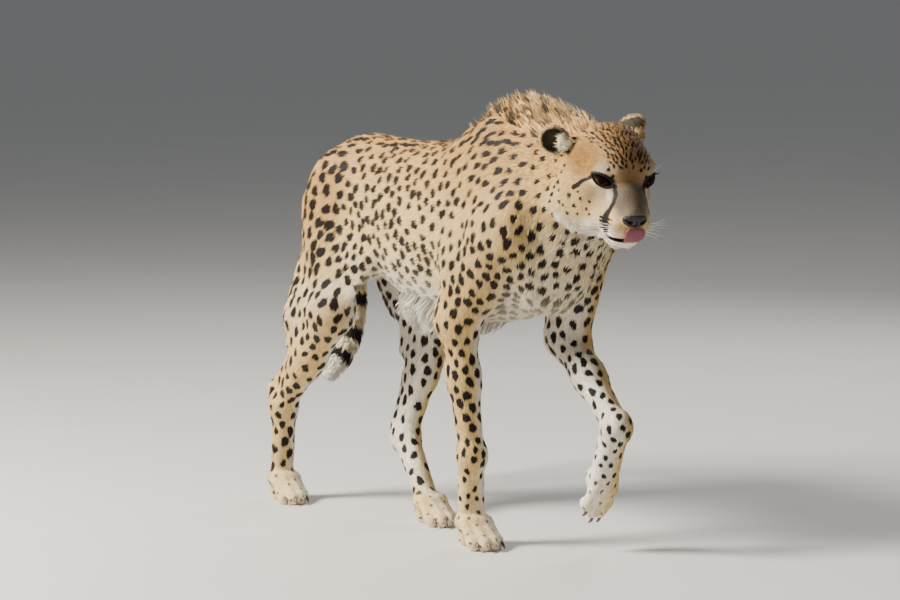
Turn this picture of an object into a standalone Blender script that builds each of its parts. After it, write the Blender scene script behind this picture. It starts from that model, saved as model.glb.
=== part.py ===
"""
A cheetah standing with its left fore paw lifted and its head turned a little to its right.

Life size, in metres: X to the animal's left, Y backwards, Z up, floor at z = 0.
The outline is built as one smooth blend of named muscles and bones (ellipsoids, tapered limbs,
a trunk hose through stations, a neck and a tail tube), out to the tips of the coat.
That blend is meshed, then parted by thin cuts into head, neck, chest, abdomen, rump, limb
segments and tail segments; eyes, nose leather, tongue, ears, paws and claws are bodies of their own.
A standing animal has no working joints, so nothing moves.
"""
# ---------- driving dimensions (metres unless named otherwise) ----------
WITHERS_HEIGHT = .700           # floor to the top of the crest over the shoulders, for reference
GLOBE = 16.2                    # eyeball radius, mm of head
LID = 2.6                       # thickness of the lids over the eyeball, mm
LID_OPENING = 16.2              # half width of the opening between the lids, mm
CLAW_LEN = .016                 # for reference: curved length outside the toe
import numpy as np
V=np.array
def unit(v):
    v=np.asarray(v,float); return v/np.linalg.norm(v)
def smin(a,b,k):
    h=np.clip(.5+.5*(b-a)/k,0,1); return b+(a-b)*h-k*h*(1-h)
def smax(a,b,k): return -smin(-a,-b,k)
# ---------- primitives: each is (fn, centre, reach, k, op, tag, flow, fur) ----------
PR=[]
def add(fn,c,R,k,op='+',tag='',flow=(0,1,0),fur=0):
    PR.append(dict(f=fn,c=V(c,float),R=R,k=k,op=op,tag=tag,flow=V(flow,float),fur=fur))
def basis(ax,wide):
    t=unit(ax); w=V(wide,float)-t*np.dot(wide,t); w=unit(w); return t,w,np.cross(t,w)
def ell(c,r,k=.02,rot=None,**kw):
    """ellipsoid: centre, radii, rot rows = local axes"""
    c=V(c,float); r=V(r,float); M=np.eye(3) if rot is None else rot
    def f(p):
        q=(p-c)@M.T/r
        k0=np.sqrt((q*q).sum(-1)); k1=np.sqrt(((q/r)**2).sum(-1))
        return k0*(k0-1)/np.maximum(k1,1e-6)
    add(f,c,r.max(),k,**kw)
def limb(a,b,wide,ra,rb,k=.02,bulge=0,**kw):
    """tapered rod with an oval section: ends a,b; wide = direction of the long radius; ra,rb=(wide,narrow)"""
    a=V(a,float);b=V(b,float);ab=b-a;L=np.linalg.norm(ab);t,w,n=basis(ab,wide)
    ra=V(ra if np.ndim(ra) else (ra,ra),float);rb=V(rb if np.ndim(rb) else (rb,rb),float)
    def f(p):
        q=p-a;s=q@t;h=np.clip(s/L,0,1);ex=s-h*L
        g=h*h*(3-2*h)*.5+h*.5
        r=ra[:,None]*(1-g)+rb[:,None]*g
        if bulge: r=r*(1+bulge*4*h*(1-h))
        x=(q@w)/r[0];y=(q@n)/r[1];rm=np.minimum(r[0],r[1]);z=ex/rm
        k0=np.sqrt(x*x+y*y+z*z);k1=np.sqrt((x/r[0])**2+(y/r[1])**2+(z/rm)**2)
        return k0*(k0-1)/np.maximum(k1,1e-6)
    kw.setdefault('flow',t)
    add(f,(a+b)/2,L/2+max(ra.max(),rb.max())*(1+bulge),k,**kw)
def curve(ys,vals,n=400):
    """smooth table through named stations (Catmull-Rom)"""
    ys=V(ys,float);vals=V(vals,float);m=np.gradient(vals,ys)
    t=np.linspace(ys[0],ys[-1],n);i=np.clip(np.searchsorted(ys,t)-1,0,len(ys)-2)
    h=ys[i+1]-ys[i];s=(t-ys[i])/h
    v=(2*s**3-3*s**2+1)*vals[i]+(s**3-2*s**2+s)*h*m[i]+(-2*s**3+3*s**2)*vals[i+1]+(s**3-s**2)*h*m[i+1]
    return t,v
def hose(st,k=.02,lean=0.,**kw):
    """trunk along Y: stations (y,top,bottom,halfwidth,egg)"""
    st=V(st,float);st=st[np.argsort(st[:,0])];T=[curve(st[:,0],st[:,j]) for j in range(1,5)];ty=T[0][0]
    y0,y1=st[0,0],st[-1,0]
    def f(p):
        y=np.clip(p[:,1],y0,y1);ex=p[:,1]-y
        top,bot,w,eg=[np.interp(y,ty,t[1]) for t in T]
        h=(top-bot)/2;zc=(top+bot)/2;t=np.clip((p[:,2]-zc)/h,-1.3,1.3)
        we=w*(1+eg*t-.04*t*t);x=p[:,0]/we;z=(p[:,2]-zc)/h;rm=np.minimum(w,h);e=ex/rm
        k0=np.sqrt(x*x+z*z+e*e);k1=np.sqrt((x/we)**2+(z/h)**2+(e/rm)**2)
        return k0*(k0-1)/np.maximum(k1,1e-6)
    add(f,(0,(y0+y1)/2,.5),(y1-y0)/2+.2,k,**kw)
def chain(pts,rad,k=.02,wide=(1,0,0),flat=1.,**kw):
    """tube through points with radii (smoothed), as one primitive"""
    P_=V(pts,float);n=len(P_);s=np.arange(n);ss=np.linspace(0,n-1,(n-1)*6+1)
    C=np.stack([curve(s,P_[:,j],len(ss))[1] for j in range(3)],1);r=curve(s,rad,len(ss))[1]
    seg=C[1:]-C[:-1];L2=(seg**2).sum(1)
    def f(p):
        d=np.full(len(p),9.)
        for i in range(len(seg)):
            q=p-C[i];h=np.clip((q@seg[i])/L2[i],0,1)
            d=np.minimum(d,np.sqrt(((q-h[:,None]*seg[i])**2).sum(-1))-(r[i]*(1-h)+r[i+1]*h))
        return d
    kw.setdefault('flow',unit(C[-1]-C[0]))
    add(f,C.mean(0),np.sqrt(((C-C.mean(0))**2).sum(1)).max()+max(rad),k,**kw)
    return C,r
# ---------- joints ----------
J=dict(sR=(-.079,-.268,.521),eR=(-.073,-.137,.359),cR=(-.060,-.155,.148),mR=(-.050,-.140,.040),
 sL=(.076,-.279,.516),eL=(.096,-.204,.324),cL=(.060,-.369,.206),mL=(.070,-.326,.118),
 hR=(-.052,.268,.552),kR=(-.090,.185,.348),oR=(-.070,.359,.168),nR=(-.060,.384,.040),
 hL=(.052,.264,.550),kL=(.084,.121,.363),oL=(.046,.165,.126),nL=(.014,.064,.038))
J={a:V(b,float) for a,b in J.items()}
HEAD_POS=V((-.005,-.464,.595));HEAD_S=1.039
def head_axes(yaw,pitch,roll):
    y,p,r=np.radians([yaw,pitch,roll])
    f=V([-np.sin(y)*np.cos(p),-np.cos(y)*np.cos(p),-np.sin(p)]);l=V([np.cos(y),-np.sin(y),0]);u=np.cross(f,l)
    return np.stack([l*np.cos(r)+u*np.sin(r),f,-l*np.sin(r)+u*np.cos(r)])
HM=head_axes(15.,22.5,-1.5)
def H(x,y,z): return HEAD_POS+HEAD_S*V((x,y,z),float)/1000@HM
def Hd(x,y,z): return V((x,y,z),float)@HM
def hell(c,r,k,rot=None,**kw):
    M=HM if rot is None else rot@HM
    ell(H(*c),V(r,float)*HEAD_S/1000,k/1000,rot=M,**kw)
def hlimb(a,b,wide,ra,rb,k,**kw):
    s=HEAD_S/1000
    limb(H(*a),H(*b),Hd(*wide),V(ra if np.ndim(ra) else (ra,ra))*s,V(rb if np.ndim(rb) else (rb,rb))*s,k/1000,**kw)
def rotm(ax,deg):
    a=unit(ax);t=np.radians(deg);K=V([[0,-a[2],a[1]],[a[2],0,-a[0]],[-a[1],a[0],0]])
    return (np.eye(3)+np.sin(t)*K+(1-np.cos(t))*K@K).T
def paw(c,fwd,up,s=1.,hind=False,side=1,air=False,tag='paw'):
    """c = knuckle joint centre; fwd heading; toes reach the ground plane unless in the air"""
    f=unit(fwd);u=V(up,float);u=unit(u-f*np.dot(u,f));l=np.cross(u,f)   # l = across
    W=lambda x,y,z:c+s*(l*x+f*y+u*z)/1000
    M=np.stack([l,f,u])
    z0=-c[2]*1000/s if not air else -30.
    toes=[(-19.5,40,-7),(-7.2,53,-2),(7.2,54,2),(19.5,42,7)] if not hind else [(-17.5,42,-6),(-6.6,55,-2),(6.6,55,2),(17.5,42,6)]
    out=[]
    ell(W(0,6,-4),V((25,27,19))*s/1000,.012,rot=M,tag=tag,flow=f)
    for x,y,a in toes:
        d=unit((np.sin(np.radians(a)),np.cos(np.radians(a)),0))
        kn=W(x*.92,y*.42,-2);tp=W(x*1.06,y,z0+14.5)
        limb(W(x*.75,-4,0),kn,l,.0105*s,.0105*s,.008,tag=tag,flow=f)
        limb(kn,tp,l,.0108*s,.0112*s,.006,tag=tag,flow=f)
        ell(W(x*1.08,y+4,z0+11.5),V((10.2,12.5,11.2))*s/1000,.005,rot=M,tag=tag,flow=f)
        ell(W(x*1.08,y+2,z0+4.5),V((7.8,10.5,6.5))*s/1000,.0025,rot=M,tag='pad',flow=f)
        out.append((W(x*1.10,y+11,z0+13.5),W(x*1.14,y+20,z0+9.5),W(x*1.16,y+25,z0+2.5)))
    ell(W(0,-3,z0+12),V((21,17,14))*s/1000,.010,rot=M,tag=tag,flow=f)
    ell(W(0,-2,z0+6),V((17.5,13.5,8))*s/1000,.004,rot=M,tag='pad',flow=f)
    return out
CLAWS=[]
# ---------- trunk ----------
hose([(-.325,.585,.430,.050,.05),(-.30,.622,.402,.070,.05),(-.25,.650,.374,.086,.06),(-.20,.658,.359,.094,.06),(-.12,.654,.350,.099,.05),
 (-.04,.641,.349,.101,.02),(.03,.634,.360,.098,0),(.09,.634,.382,.090,0),(.15,.638,.404,.080,.0),(.21,.638,.420,.074,.0),
 (.245,.628,.432,.073,-.02),(.275,.610,.448,.062,-.02),(.297,.583,.480,.045,0)],.02,tag='trunk',flow=(0,.93,-.3))
ell((0,.262,.535),(.042,.042,.046),.03,tag='rump',flow=(0,.6,-.8))
for sg,S in ((-1,'R'),(1,'L')):
    s_,e_,c_,m_=[J[a+S] for a in 'secm']
    top=V((sg*.040,-.160,.650)) if S=='R' else V((sg*.038,-.185,.642))
    limb(s_+V((0,.012,-.01)),top,(0,1,0),(.060,.037),(.060,.024),.04,tag='shoulder',flow=(0,.55,-.83))
    limb(top+V((0,.03,-.05)),(s_+e_)/2+V((0,.045,.02)),(0,1,0),(.05,.026),(.045,.032),.03,tag='shoulder',flow=(0,.3,-.95))
    limb(s_,e_,(0,1,0),(.050,.038),(.036,.031),.03,tag='arm',flow=(0,.35,-.93))
    limb((s_*.45+e_*.55)+V((0,.034,.015)),e_+V((0,.018,.004)),(0,1,0),(.040,.028),(.026,.022),.025,tag='arm',flow=(0,.2,-.98))
    ell(s_+V((-sg*.012,-.022,-.005)),(.040,.036,.052),.03,tag='shoulder',flow=(0,.2,-.98))
    # forearm
    fw=unit(np.cross(c_-e_,(1,0,0)));fw=fw*(-1 if fw[1]>0 else 1)
    limb(e_,e_*.55+c_*.45,(0,1,0) if S=='R' else (0,1,1),(.036,.0285) if S=='R' else (.040,.031),(.0275,.0235) if S=='R' else (.030,.025),.02,tag='forearm')
    limb(e_*.6+c_*.4,c_,(0,1,0) if S=='R' else (0,1,1),(.0275,.0235) if S=='R' else (.030,.025),(.0215,.0215),.02,tag='forearm')
    ell(e_+V((0,.020,.014)) if S=='R' else e_+V((0,.022,.008)),(.018,.022,.026),.016,tag='arm')
# carpus, metacarpus, paws: right standing, left hanging
c_,m_=J['cR'],J['mR']
ell(c_+V((0,-.004,0)),(.0225,.0235,.027),.012,tag='wrist',flow=(0,0,-1))
ell(c_+V((.004,.020,-.012)),(.010,.011,.013),.008,tag='wrist',flow=(0,0,-1))
limb(c_,m_,(1,0,0),(.0220,.0200),(.0240,.0190),.012,tag='pastern')
CLAWS+=[('fR',paw(m_,(-.12,-1,0),(0,0,1),1.0,tag='paw'))]
c_,m_=J['cL'],J['mL']
ell(c_+V((0,.0,.004)),(.0225,.026,.026),.012,tag='wrist',flow=(0,0,-1))
ell(c_+V((.0,.030,-.020)),(.010,.010,.012),.008,tag='wrist',flow=(0,0,-1))
limb(c_+V((0,.006,-.008)),m_+V((0,.004,0)),(1,0,0),(.0225,.0220),(.0245,.0225),.012,tag='pastern')
CLAWS+=[('fL',paw(m_,(.0,.06,-1),(0,-1,-.06),.93,air=True,tag='paw'))]
# ---------- hind limbs ----------
for sg,S in ((-1,'R'),(1,'L')):
    h_,k_,o_,n_=[J[a+S] for a in 'hkon']
    side=(0,1,0)
    limb(h_+V((0,-.018,-.030)),k_+V((-sg*.006,.012,.012)),(0,1,.25),(.052,.040),(.046,.034),.03,tag='thigh',flow=(0,.45,-.9))
    isch=V((sg*.040,.262,.486))
    ham=V((sg*.078,.290,.326)) if S=='R' else V((sg*.076,.208,.348))
    limb(isch,ham,(0,1,0),(.042,.033),(.046,.030),.03,tag='thigh',flow=(0,.3,-.95))
    ell(h_+V((sg*.005,-.052,.008)),(.033,.050,.048),.035,tag='thigh',flow=(0,.6,-.8))
    ell(k_+V((0,-.002,0)),(.032,.031,.038),.022,tag='knee',flow=(0,.2,-.98))
    # shank with calf
    t=unit(o_-k_)
    limb(k_+V((0,.006,-.004)),k_*.45+o_*.55,(0,1,.4),(.040,.033),(.030,.025),.022,tag='shank')
    limb(k_*.55+o_*.45,o_+V((0,0,.006)),(0,1,.4),(.031,.026),(.0215,.0200),.02,tag='shank')
    limb(k_+V((-sg*.004,.064,.004)),k_*.5+o_*.5+V((0,.040,.026)),(0,1,.4),(.034,.024),(.021,.016),.022,tag='shank')
    hp=V((0,.024,.028)) if S=='R' else V((0,.022,.026))
    limb(k_*.35+o_*.65+V((0,.024,.018)),o_+hp,(0,1,.4),(.014,.012),(.0125,.0115),.014,tag='shank')
    ell(o_+V((0,.002,.0)),(.0215,.026,.027),.014,tag='hock',flow=(0,0,-1))
    limb(o_+hp,o_+V((0,.016,-.012))*1.,(1,0,0),(.0135,.0135),(.0150,.0150),.012,tag='hock',flow=(0,0,-1))
    limb(o_,n_,(0,1,0),(.0235,.0205),(.0185,.0215),.014,tag='shank')
CLAWS+=[('hR',paw(J['nR'],(-.16,-1,0),(0,0,1),.98,hind=True,tag='paw'))]
CLAWS+=[('hL',paw(J['nL'],(-.10,-1,0),(0,0,1),.98,hind=True,tag='paw'))]
# flank folds
limb((-.084,.160,.385),(-.070,.100,.455),(0,1,.8),(.030,.010),(.022,.012),.025,tag='trunk',flow=(0,.5,-.85))
limb((.080,.105,.395),(.070,.070,.450),(0,1,.8),(.030,.010),(.022,.012),.025,tag='trunk',flow=(0,.5,-.85))
ell((-.054,.158,.438),(.026,.046,.040),.035,tag='trunk',flow=(0,.5,-.85))
ell((.054,.120,.432),(.026,.046,.040),.035,tag='trunk',flow=(0,.5,-.85))
# ---------- tail ----------
TAIL=[(0,.262,.570),(.008,.308,.552),(.030,.352,.526),(.062,.388,.492),(.094,.410,.430),(.104,.400,.366),(.094,.388,.300),(.068,.378,.250),(.036,.370,.215)]
TAILR=[.030,.0270,.0245,.0228,.0215,.0215,.0215,.0215,.0155]
# ---------- neck ----------
NK0=V((0,-.225,.572));NK1=V((-.003,-.400,.600))
limb(NK0,NK1,(0,0,1),(.110,.074),(.074,.057),.04,tag='neck',flow=(0,.93,-.35))
limb((0,-.30,.50),(0,-.378,.560),(0,0,1),(.070,.064),(.053,.054),.035,tag='neck',flow=(0,.6,-.8))
ell((0,-.285,.455),(.066,.052,.075),.035,tag='chest',flow=(0,.3,-.95))
def build_tail():
    chain(TAIL,TAILR,.02,tag='tail')
build_tail()
# ---------- head (local mm: x left, y forward, z up, origin between the eyes) ----------
def build_head():
    K=dict(tag='head',flow=Hd(0,-1,0))
    hell((0,-58,15),(49,57,46),16,**K)                       # cranium
    hell((0,-23,13),(42,31,33),18,**K)                       # forehead
    hlimb((0,-8,3),(0,42,-26.5),(1,0,0),(22,15),(15.5,12.5),16,**K)    # bridge of the nose
    hell((0,10,-27),(33,31,25),14,**K)                       # upper jaw
    hell((0,19,-46),(30,28,24.5),14,**K)                       # muzzle body
    for s in (-1,1):
        hell((s*15.2,33,-50.5),(16.5,16.5,19.0),11,**K)           # whisker pads
        hlimb((s*28,-4,-15),(s*47,-44,-19),(0,0,1),(13,10),(19,11),16,**K)   # cheekbone
        hell((s*35,-48,-30),(20,34,31),16,**K)               # cheek
        hell((s*31,0,-47),(13,22,19),14,**K)                 # behind the whisker pads
        hell((s*37,-74,-28),(20,28,33),18,**K)               # jaw muscle
        hlimb((s*16,-5,14),(s*43,-27,15),(0,1,0),(10,9),(10,8),16,**K)      # brow
        hlimb((s*12,27,-74),(s*36,-50,-52),(0,0,1),(13,11),(20,17),12,**K)  # lower jaw
        hlimb((s*62,-54,-44),(s*39,-6,-68),(0,0,1),(15,9),(8,6.5),12,**K)    # ruff along the jaw
    hell((0,29.5,-75.5),(18.5,14.5,14.5),10,**K)                     # chin
    hlimb((0,24,-63),(0,-34,-58),(1,0,0),(20,16),(32,26),12,**K)
    hell((0,-66,-44),(43,46,38),20,**K)                      # throat
    hell((0,45.5,-36),(16.5,9.5,11),8,**K)                       # nose end
EYE={}
def eye_frame(s):
    a=unit((s*27.8,-15.4,6.5));g=unit((s*.45,.89,-.06));g=unit(g-a*np.dot(g,a));c=V((s*39.4,-1.2,2.4))-g*(GLOBE-1.2)
    a=a*s;u=np.cross(a,g)
    if u[2]<0: u=-u
    return c,g,a*s,u
build_head()
def body_sdf(p,fur=True,prims=None,margin=.03,dtype=float):
    p=np.asarray(p,dtype);d=np.full(len(p),1.,dtype)
    for q in (PR if prims is None else prims):
        if q['fur'] and not fur: continue
        dd=p-q['c'].astype(dtype);r2=(dd*dd).sum(-1);R=q['R']+margin+q['k']
        m=r2<R*R
        if not m.any(): continue
        i=np.nonzero(m)[0];v=q['f'](p[i])
        d[i]=smin(d[i],v,q['k']) if q['op']=='+' else smax(d[i],-v,q['k'])
    return d
def part_sheets(D):
    """signs of the samples; where two sheets would touch along an edge they are joined"""
    S=D<0
    for _ in range(8):
        more=0
        for ax in range(3):
            q=[]
            for i in (0,1):
                for j in (0,1):
                    sl=[slice(None)]*3;sl[(ax+1)%3]=slice(i,-1 if i==0 else None);sl[(ax+2)%3]=slice(j,-1 if j==0 else None)
                    q.append(S[tuple(sl)])
            amb=np.stack(np.nonzero((q[0]==q[3])&(q[1]==q[2])&(q[0]!=q[1])),1)
            if not len(amb): continue
            more+=len(amb)
            e1=np.zeros(3,int);e1[(ax+1)%3]=1;e2=np.zeros(3,int);e2[(ax+2)%3]=1
            first=S[tuple(amb.T)]                     # the sheet holds corners 0 and 3, or 1 and 2
            p=np.where(first[:,None],amb+e1,amb);r=np.where(first[:,None],amb+e2,amb+e1+e2)
            pick=np.where((D[tuple(p.T)]<D[tuple(r.T)])[:,None],p,r)
            D[tuple(pick.T)]=-1e-6;S[tuple(pick.T)]=True
        if not more: break
    return S
def mesh(f,lo,hi,h,coarse=4,verbose=False):
    """surface nets over blocks that touch the surface"""
    lo=V(lo,float);n=np.ceil((V(hi)-lo)/h/coarse).astype(int)*coarse+1
    nb=(n-1)//coarse
    cx,cy,cz=[lo[j]+h*coarse*(np.arange(nb[j])+.5) for j in range(3)]
    C=np.stack(np.meshgrid(cx,cy,cz,indexing='ij'),-1).reshape(-1,3)
    dc=f(C);rad=h*coarse*.5*np.sqrt(3)*1.25
    act=np.abs(dc)<rad+.004
    D=np.repeat(np.repeat(np.repeat(dc.reshape(nb),coarse,0),coarse,1),coarse,2)
    D=np.pad(D,((0,1),)*3,mode='edge').astype(np.float32)
    bi=np.stack(np.unravel_index(np.nonzero(act)[0],nb),1)*coarse
    o=np.stack(np.meshgrid(*[np.arange(coarse+1)]*3,indexing='ij'),-1).reshape(-1,3)
    I=(bi[:,None]+o).reshape(-1,3);key=np.unique(np.ravel_multi_index(I.T,n))
    I=np.stack(np.unravel_index(key,n),1);P_=lo+I*h
    D.reshape(-1)[key]=f(P_)
    S=part_sheets(D)
    c=[S[i:n[0]-1+i,j:n[1]-1+j,k:n[2]-1+k] for i in (0,1) for j in (0,1) for k in (0,1)]
    cnt=sum(x.astype(np.int8) for x in c);cell=np.nonzero((cnt>0)&(cnt<8));ci=np.stack(cell,1)
    vid=-np.ones(n-1,np.int64);vid[cell]=np.arange(len(ci))
    corner=V([(i,j,k) for i in (0,1) for j in (0,1) for k in (0,1)])
    dv=D[tuple((ci[:,None]+corner).transpose(2,0,1))].astype(float)
    acc=np.zeros((len(ci),3));w=np.zeros(len(ci))
    for a in range(8):
        for b in range(a+1,8):
            if abs(corner[a]-corner[b]).sum()!=1: continue
            m=(dv[:,a]<0)!=(dv[:,b]<0);t=dv[m,a]/(dv[m,a]-dv[m,b])
            acc[m]+=corner[a]+(corner[b]-corner[a])*t[:,None];w[m]+=1
    v=lo+(ci+acc/w[:,None])*h
    F=[]
    for ax in range(3):
        u1,u2=(ax+1)%3,(ax+2)%3
        sl0=[slice(None)]*3;sl1=[slice(None)]*3;sl0[ax]=slice(0,-1);sl1[ax]=slice(1,None)
        a=S[tuple(sl0)];b=S[tuple(sl1)];e=np.stack(np.nonzero(a!=b),1)
        ok=(e[:,u1]>0)&(e[:,u2]>0)&(e[:,u1]<n[u1]-1)&(e[:,u2]<n[u2]-1);e=e[ok]
        def cellid(d1,d2):
            q=e.copy();q[:,u1]-=d1;q[:,u2]-=d2;return vid[tuple(q.T)]
        q=np.stack([cellid(0,0),cellid(1,0),cellid(1,1),cellid(0,1)],1)
        flip=~a[tuple(e.T)]
        q[flip]=q[flip][:,::-1]
        F.append(q)
    F=np.concatenate(F)
    return v,F,dc
def project(f,v,it=2,h=5e-4):
    for _ in range(it):
        d=f(v);g=np.stack([f(v+V(e)*h)-f(v-V(e)*h) for e in np.eye(3)],1)/(2*h)
        g2=(g*g).sum(1);v=v-np.clip(d/np.maximum(g2,.2),-.004,.004)[:,None]*g
    return v
# ---------- ears, eyes, mouth ----------
EARS={}
EAR_FORM={-1:(17,(21.5,22.5,12),(18.6,20.0,13.6),10.),1:(13,(26,15.5,11.5),(22.5,12.5,12.5),9.)}
def build_ears():
    for s,base,ax,n in ((-1,(-63.7,-91.6,12.5),(-.80,-.38,.46),(-.40,.80,.14)),(1,(45.5,-95.5,29.5),(-.10,-.66,.74),(.60,-.72,.3))):
        base=V(base,float);a=unit(ax);n=V(n,float);n=unit(n-a*np.dot(n,a));w=np.cross(n,a)
        M=np.stack([w,a,n]);mid,r,_,_=EAR_FORM[s]
        hell(base+a*mid,r,5,rot=M,tag='ear',flow=a@HM)
        hell(base-a*(3 if s<0 else 5),(17,14,13) if s<0 else (20,13,12),9,rot=M,tag='ear',flow=a@HM)
        EARS[s]=(base,a,n,w)
def carve_ears():
    for s,(base,a,n,w) in EARS.items():
        M=np.stack([w,a,n]);mid,_,r,off=EAR_FORM[s]
        hell(base+a*(mid+1.5)+n*off,r,2,rot=M,op='-',tag='earin')
build_ears()
MOUTH_TILT=8
def eye_prims():
    for s in (-1,1):
        c,g,a,u=eye_frame(s)
        hell(c,(GLOBE+LID,)*3,5,tag='lid',flow=Hd(0,-1,0))
    for s in (-1,1):
        c,g,a,u=eye_frame(s);M=np.stack([a,u,g])@HM;cw=H(*c);sc=HEAD_S/1000
        def f(p,M=M,cw=cw,s=s):
            q=(p-cw)@M.T/sc;x,y,z=q[:,0],q[:,1],q[:,2]
            def arc(b,A=LID_OPENING): R=(A*A+b*b)/(2*b);return R,R-b
            Ru,ou=arc(7.6);Rl,ol=arc(7.0)
            y=y-.0
            d=np.maximum(np.hypot(x,y+ou)-Ru,np.hypot(x,y-ol)-Rl)
            d=np.maximum(d,4-z)
            return d*sc
        add(f,cw+g@HM*.015,.045,.0012,op='-',tag='lidcut')
        hell(c,(GLOBE+.35,)*3,.4,op='-',tag='socket')
def mouth():
    hell((0,33,-73.2),(24.5,23,1.7),2,rot=rotm((1,0,0),MOUTH_TILT),op='-',tag='mouth')
eye_prims();carve_ears();mouth()
# ---------- coat that stands off the skin: nape crest, belly fringe, ruff ----------
def fringe():
    chain([(0,-.115,.655),(0,-.165,.676),(0,-.215,.682),(0,-.270,.672),(-.001,-.330,.654),(-.003,-.385,.640)],[.016,.026,.034,.036,.034,.026],.02,tag='mane',fur=1,flow=(0,.9,.3))
    ell((0,-.010,.368),(.060,.088,.054),.03,tag='belly',fur=1,flow=(0,.35,-.93))
    ell((0,-.105,.362),(.062,.075,.034),.03,tag='belly',fur=1,flow=(0,.35,-.93))
    for s in (-1,1):
        hlimb((s*20,22,-80),(s*40,-48,-60),(0,0,1),(10,7),(17,10),8,tag='ruff',fur=1)
fringe()


# =====================================================================
#  The solids
# =====================================================================
import bpy, bmesh
from mathutils import Matrix, Vector

GAP = .0003                      # clearance between neighbouring pieces
SHIFT = V((-.0031, .0377, 0.0))       # puts the middle of the base at the origin

for _o in list(bpy.data.objects):
    bpy.data.objects.remove(_o, do_unlink=True)

MATS = {  # name: colour, roughness
    'coat': ((.62, .42, .20), .85), 'belly_coat': ((.80, .74, .62), .9), 'eye': ((.16, .07, .02), .08),
    'nose': ((.02, .016, .016), .35), 'tongue': ((.55, .14, .16), .35), 'claw': ((.05, .04, .035), .4)}


def material(name):
    m = bpy.data.materials.get(name)
    if not m:
        m = bpy.data.materials.new(name)
        m.use_nodes = True
        b = m.node_tree.nodes['Principled BSDF']
        c, r = MATS[name]
        b.inputs['Base Color'].default_value = (*c, 1)
        b.inputs['Roughness'].default_value = r
    return m


def to_object(name, v, f, mat=None):
    me = bpy.data.meshes.new(name)
    me.from_pydata([tuple(x) for x in np.asarray(v, float)], [], [tuple(int(i) for i in q) for q in f])
    me.update()
    o = bpy.data.objects.new(name, me)
    bpy.context.scene.collection.objects.link(o)
    if mat:
        me.materials.append(material(mat))
    return o


def baked(o):
    """apply the modifiers"""
    dg = bpy.context.evaluated_depsgraph_get()
    me = bpy.data.meshes.new_from_object(o.evaluated_get(dg))
    o.modifiers.clear()
    old = o.data
    o.data = me
    bpy.data.meshes.remove(old)
    return o


def decimated(o, target):
    m = o.modifiers.new('tri', 'TRIANGULATE')
    n = sum(len(p.vertices) - 2 for p in o.data.polygons)
    if n > target:
        d = o.modifiers.new('dec', 'DECIMATE')
        d.ratio = target / n
    return baked(o)


def boolean(o, cutter, op='DIFFERENCE'):
    m = o.modifiers.new('b', 'BOOLEAN')
    m.object = cutter
    m.operation = op
    m.solver = 'EXACT'
    return baked(o)


def drop(*obs):
    for o in obs:
        bpy.data.objects.remove(o, do_unlink=True)


def box(name, c, axes, half):
    """oriented box: axes are the rows, half the half sizes"""
    c = V(c, float)
    A = np.asarray(axes, float)
    P_ = [c + A.T @ (V((i, j, k)) * half) for i in (-1, 1) for j in (-1, 1) for k in (-1, 1)]
    F_ = [(0, 1, 3, 2), (4, 6, 7, 5), (0, 4, 5, 1), (2, 3, 7, 6), (0, 2, 6, 4), (1, 5, 7, 3)]
    if np.linalg.det(A) < 0:
        F_ = [q[::-1] for q in F_]
    return to_object(name, P_, F_)


def slab(c, n, size, wide=(0, 0, 1)):
    """a thin plate square to n"""
    n = unit(n)
    w = V(wide, float)
    if abs(np.dot(unit(w), n)) > .95:
        w = V((1., 0, 0))
    w = unit(w - n * np.dot(w, n))
    s2 = size if np.ndim(size) else (size, size)
    return box('cut', c, (w, np.cross(n, w), n), V((s2[0], s2[1], GAP / 2)))


def loft(name, pts, rad, side, n=8, mat=None):
    """closed tube through points; rad = (wide, thick) at each; side = direction of the wide radius"""
    P_ = V(pts, float)
    t = np.gradient(P_, axis=0)
    v = []
    for p, d, r in zip(P_, t, rad):
        d = unit(d)
        w = V(side, float)
        w = unit(w - d * np.dot(w, d))
        u = np.cross(d, w)
        r = r if np.ndim(r) else (r, r)
        for k in range(n):
            a = 2 * np.pi * k / n
            v.append(p + w * r[0] * np.cos(a) + u * r[1] * np.sin(a))
    m = len(P_)
    f = [(i * n + k, i * n + (k + 1) % n, (i + 1) * n + (k + 1) % n, (i + 1) * n + k) for i in range(m - 1) for k in range(n)]
    f += [tuple(range(n))[::-1], tuple((m - 1) * n + k for k in range(n))]
    return to_object(name, v, f, mat)


def sphere(name, c, r, mat=None, seg=14, rings=8, scale=(1, 1, 1), axes=None):
    bm = bmesh.new()
    bmesh.ops.create_uvsphere(bm, u_segments=seg, v_segments=rings, radius=1)
    A = np.eye(3) if axes is None else np.asarray(axes)
    for q in bm.verts:
        q.co = Vector(V(c) + A.T @ (V(q.co) * r * V(scale)))
    if np.linalg.det(A) < 0:
        bmesh.ops.reverse_faces(bm, faces=bm.faces)
    me = bpy.data.meshes.new(name)
    bm.to_mesh(me)
    bm.free()
    o = bpy.data.objects.new(name, me)
    bpy.context.scene.collection.objects.link(o)
    if mat:
        me.materials.append(material(mat))
    return o


def offset_copy(o, d):
    me = o.data.copy()
    n = len(me.vertices)
    co = np.zeros(n * 3); me.vertices.foreach_get('co', co)
    no = np.zeros(n * 3); me.vertices.foreach_get('normal', no)
    me.vertices.foreach_set('co', (co.reshape(-1, 3) + d * no.reshape(-1, 3)).ravel())
    me.update()
    c = bpy.data.objects.new('offset', me)
    bpy.context.scene.collection.objects.link(c)
    return c


def solid_from(prims, lo, hi, h, name, target):
    mid, half = (V(lo) + V(hi)) / 2, (V(hi) - V(lo)) / 2 - 2.5 * h

    def shape(p):                       # closed where the region ends
        return np.maximum(body_sdf(p, prims=prims), (np.abs(p - mid) - half).max(1))
    v, f, _ = mesh(shape, lo, hi, h)
    v = project(shape, v, 1)
    o = to_object(name, v, f)
    keep_largest(o)
    return decimated(o, target)


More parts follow.
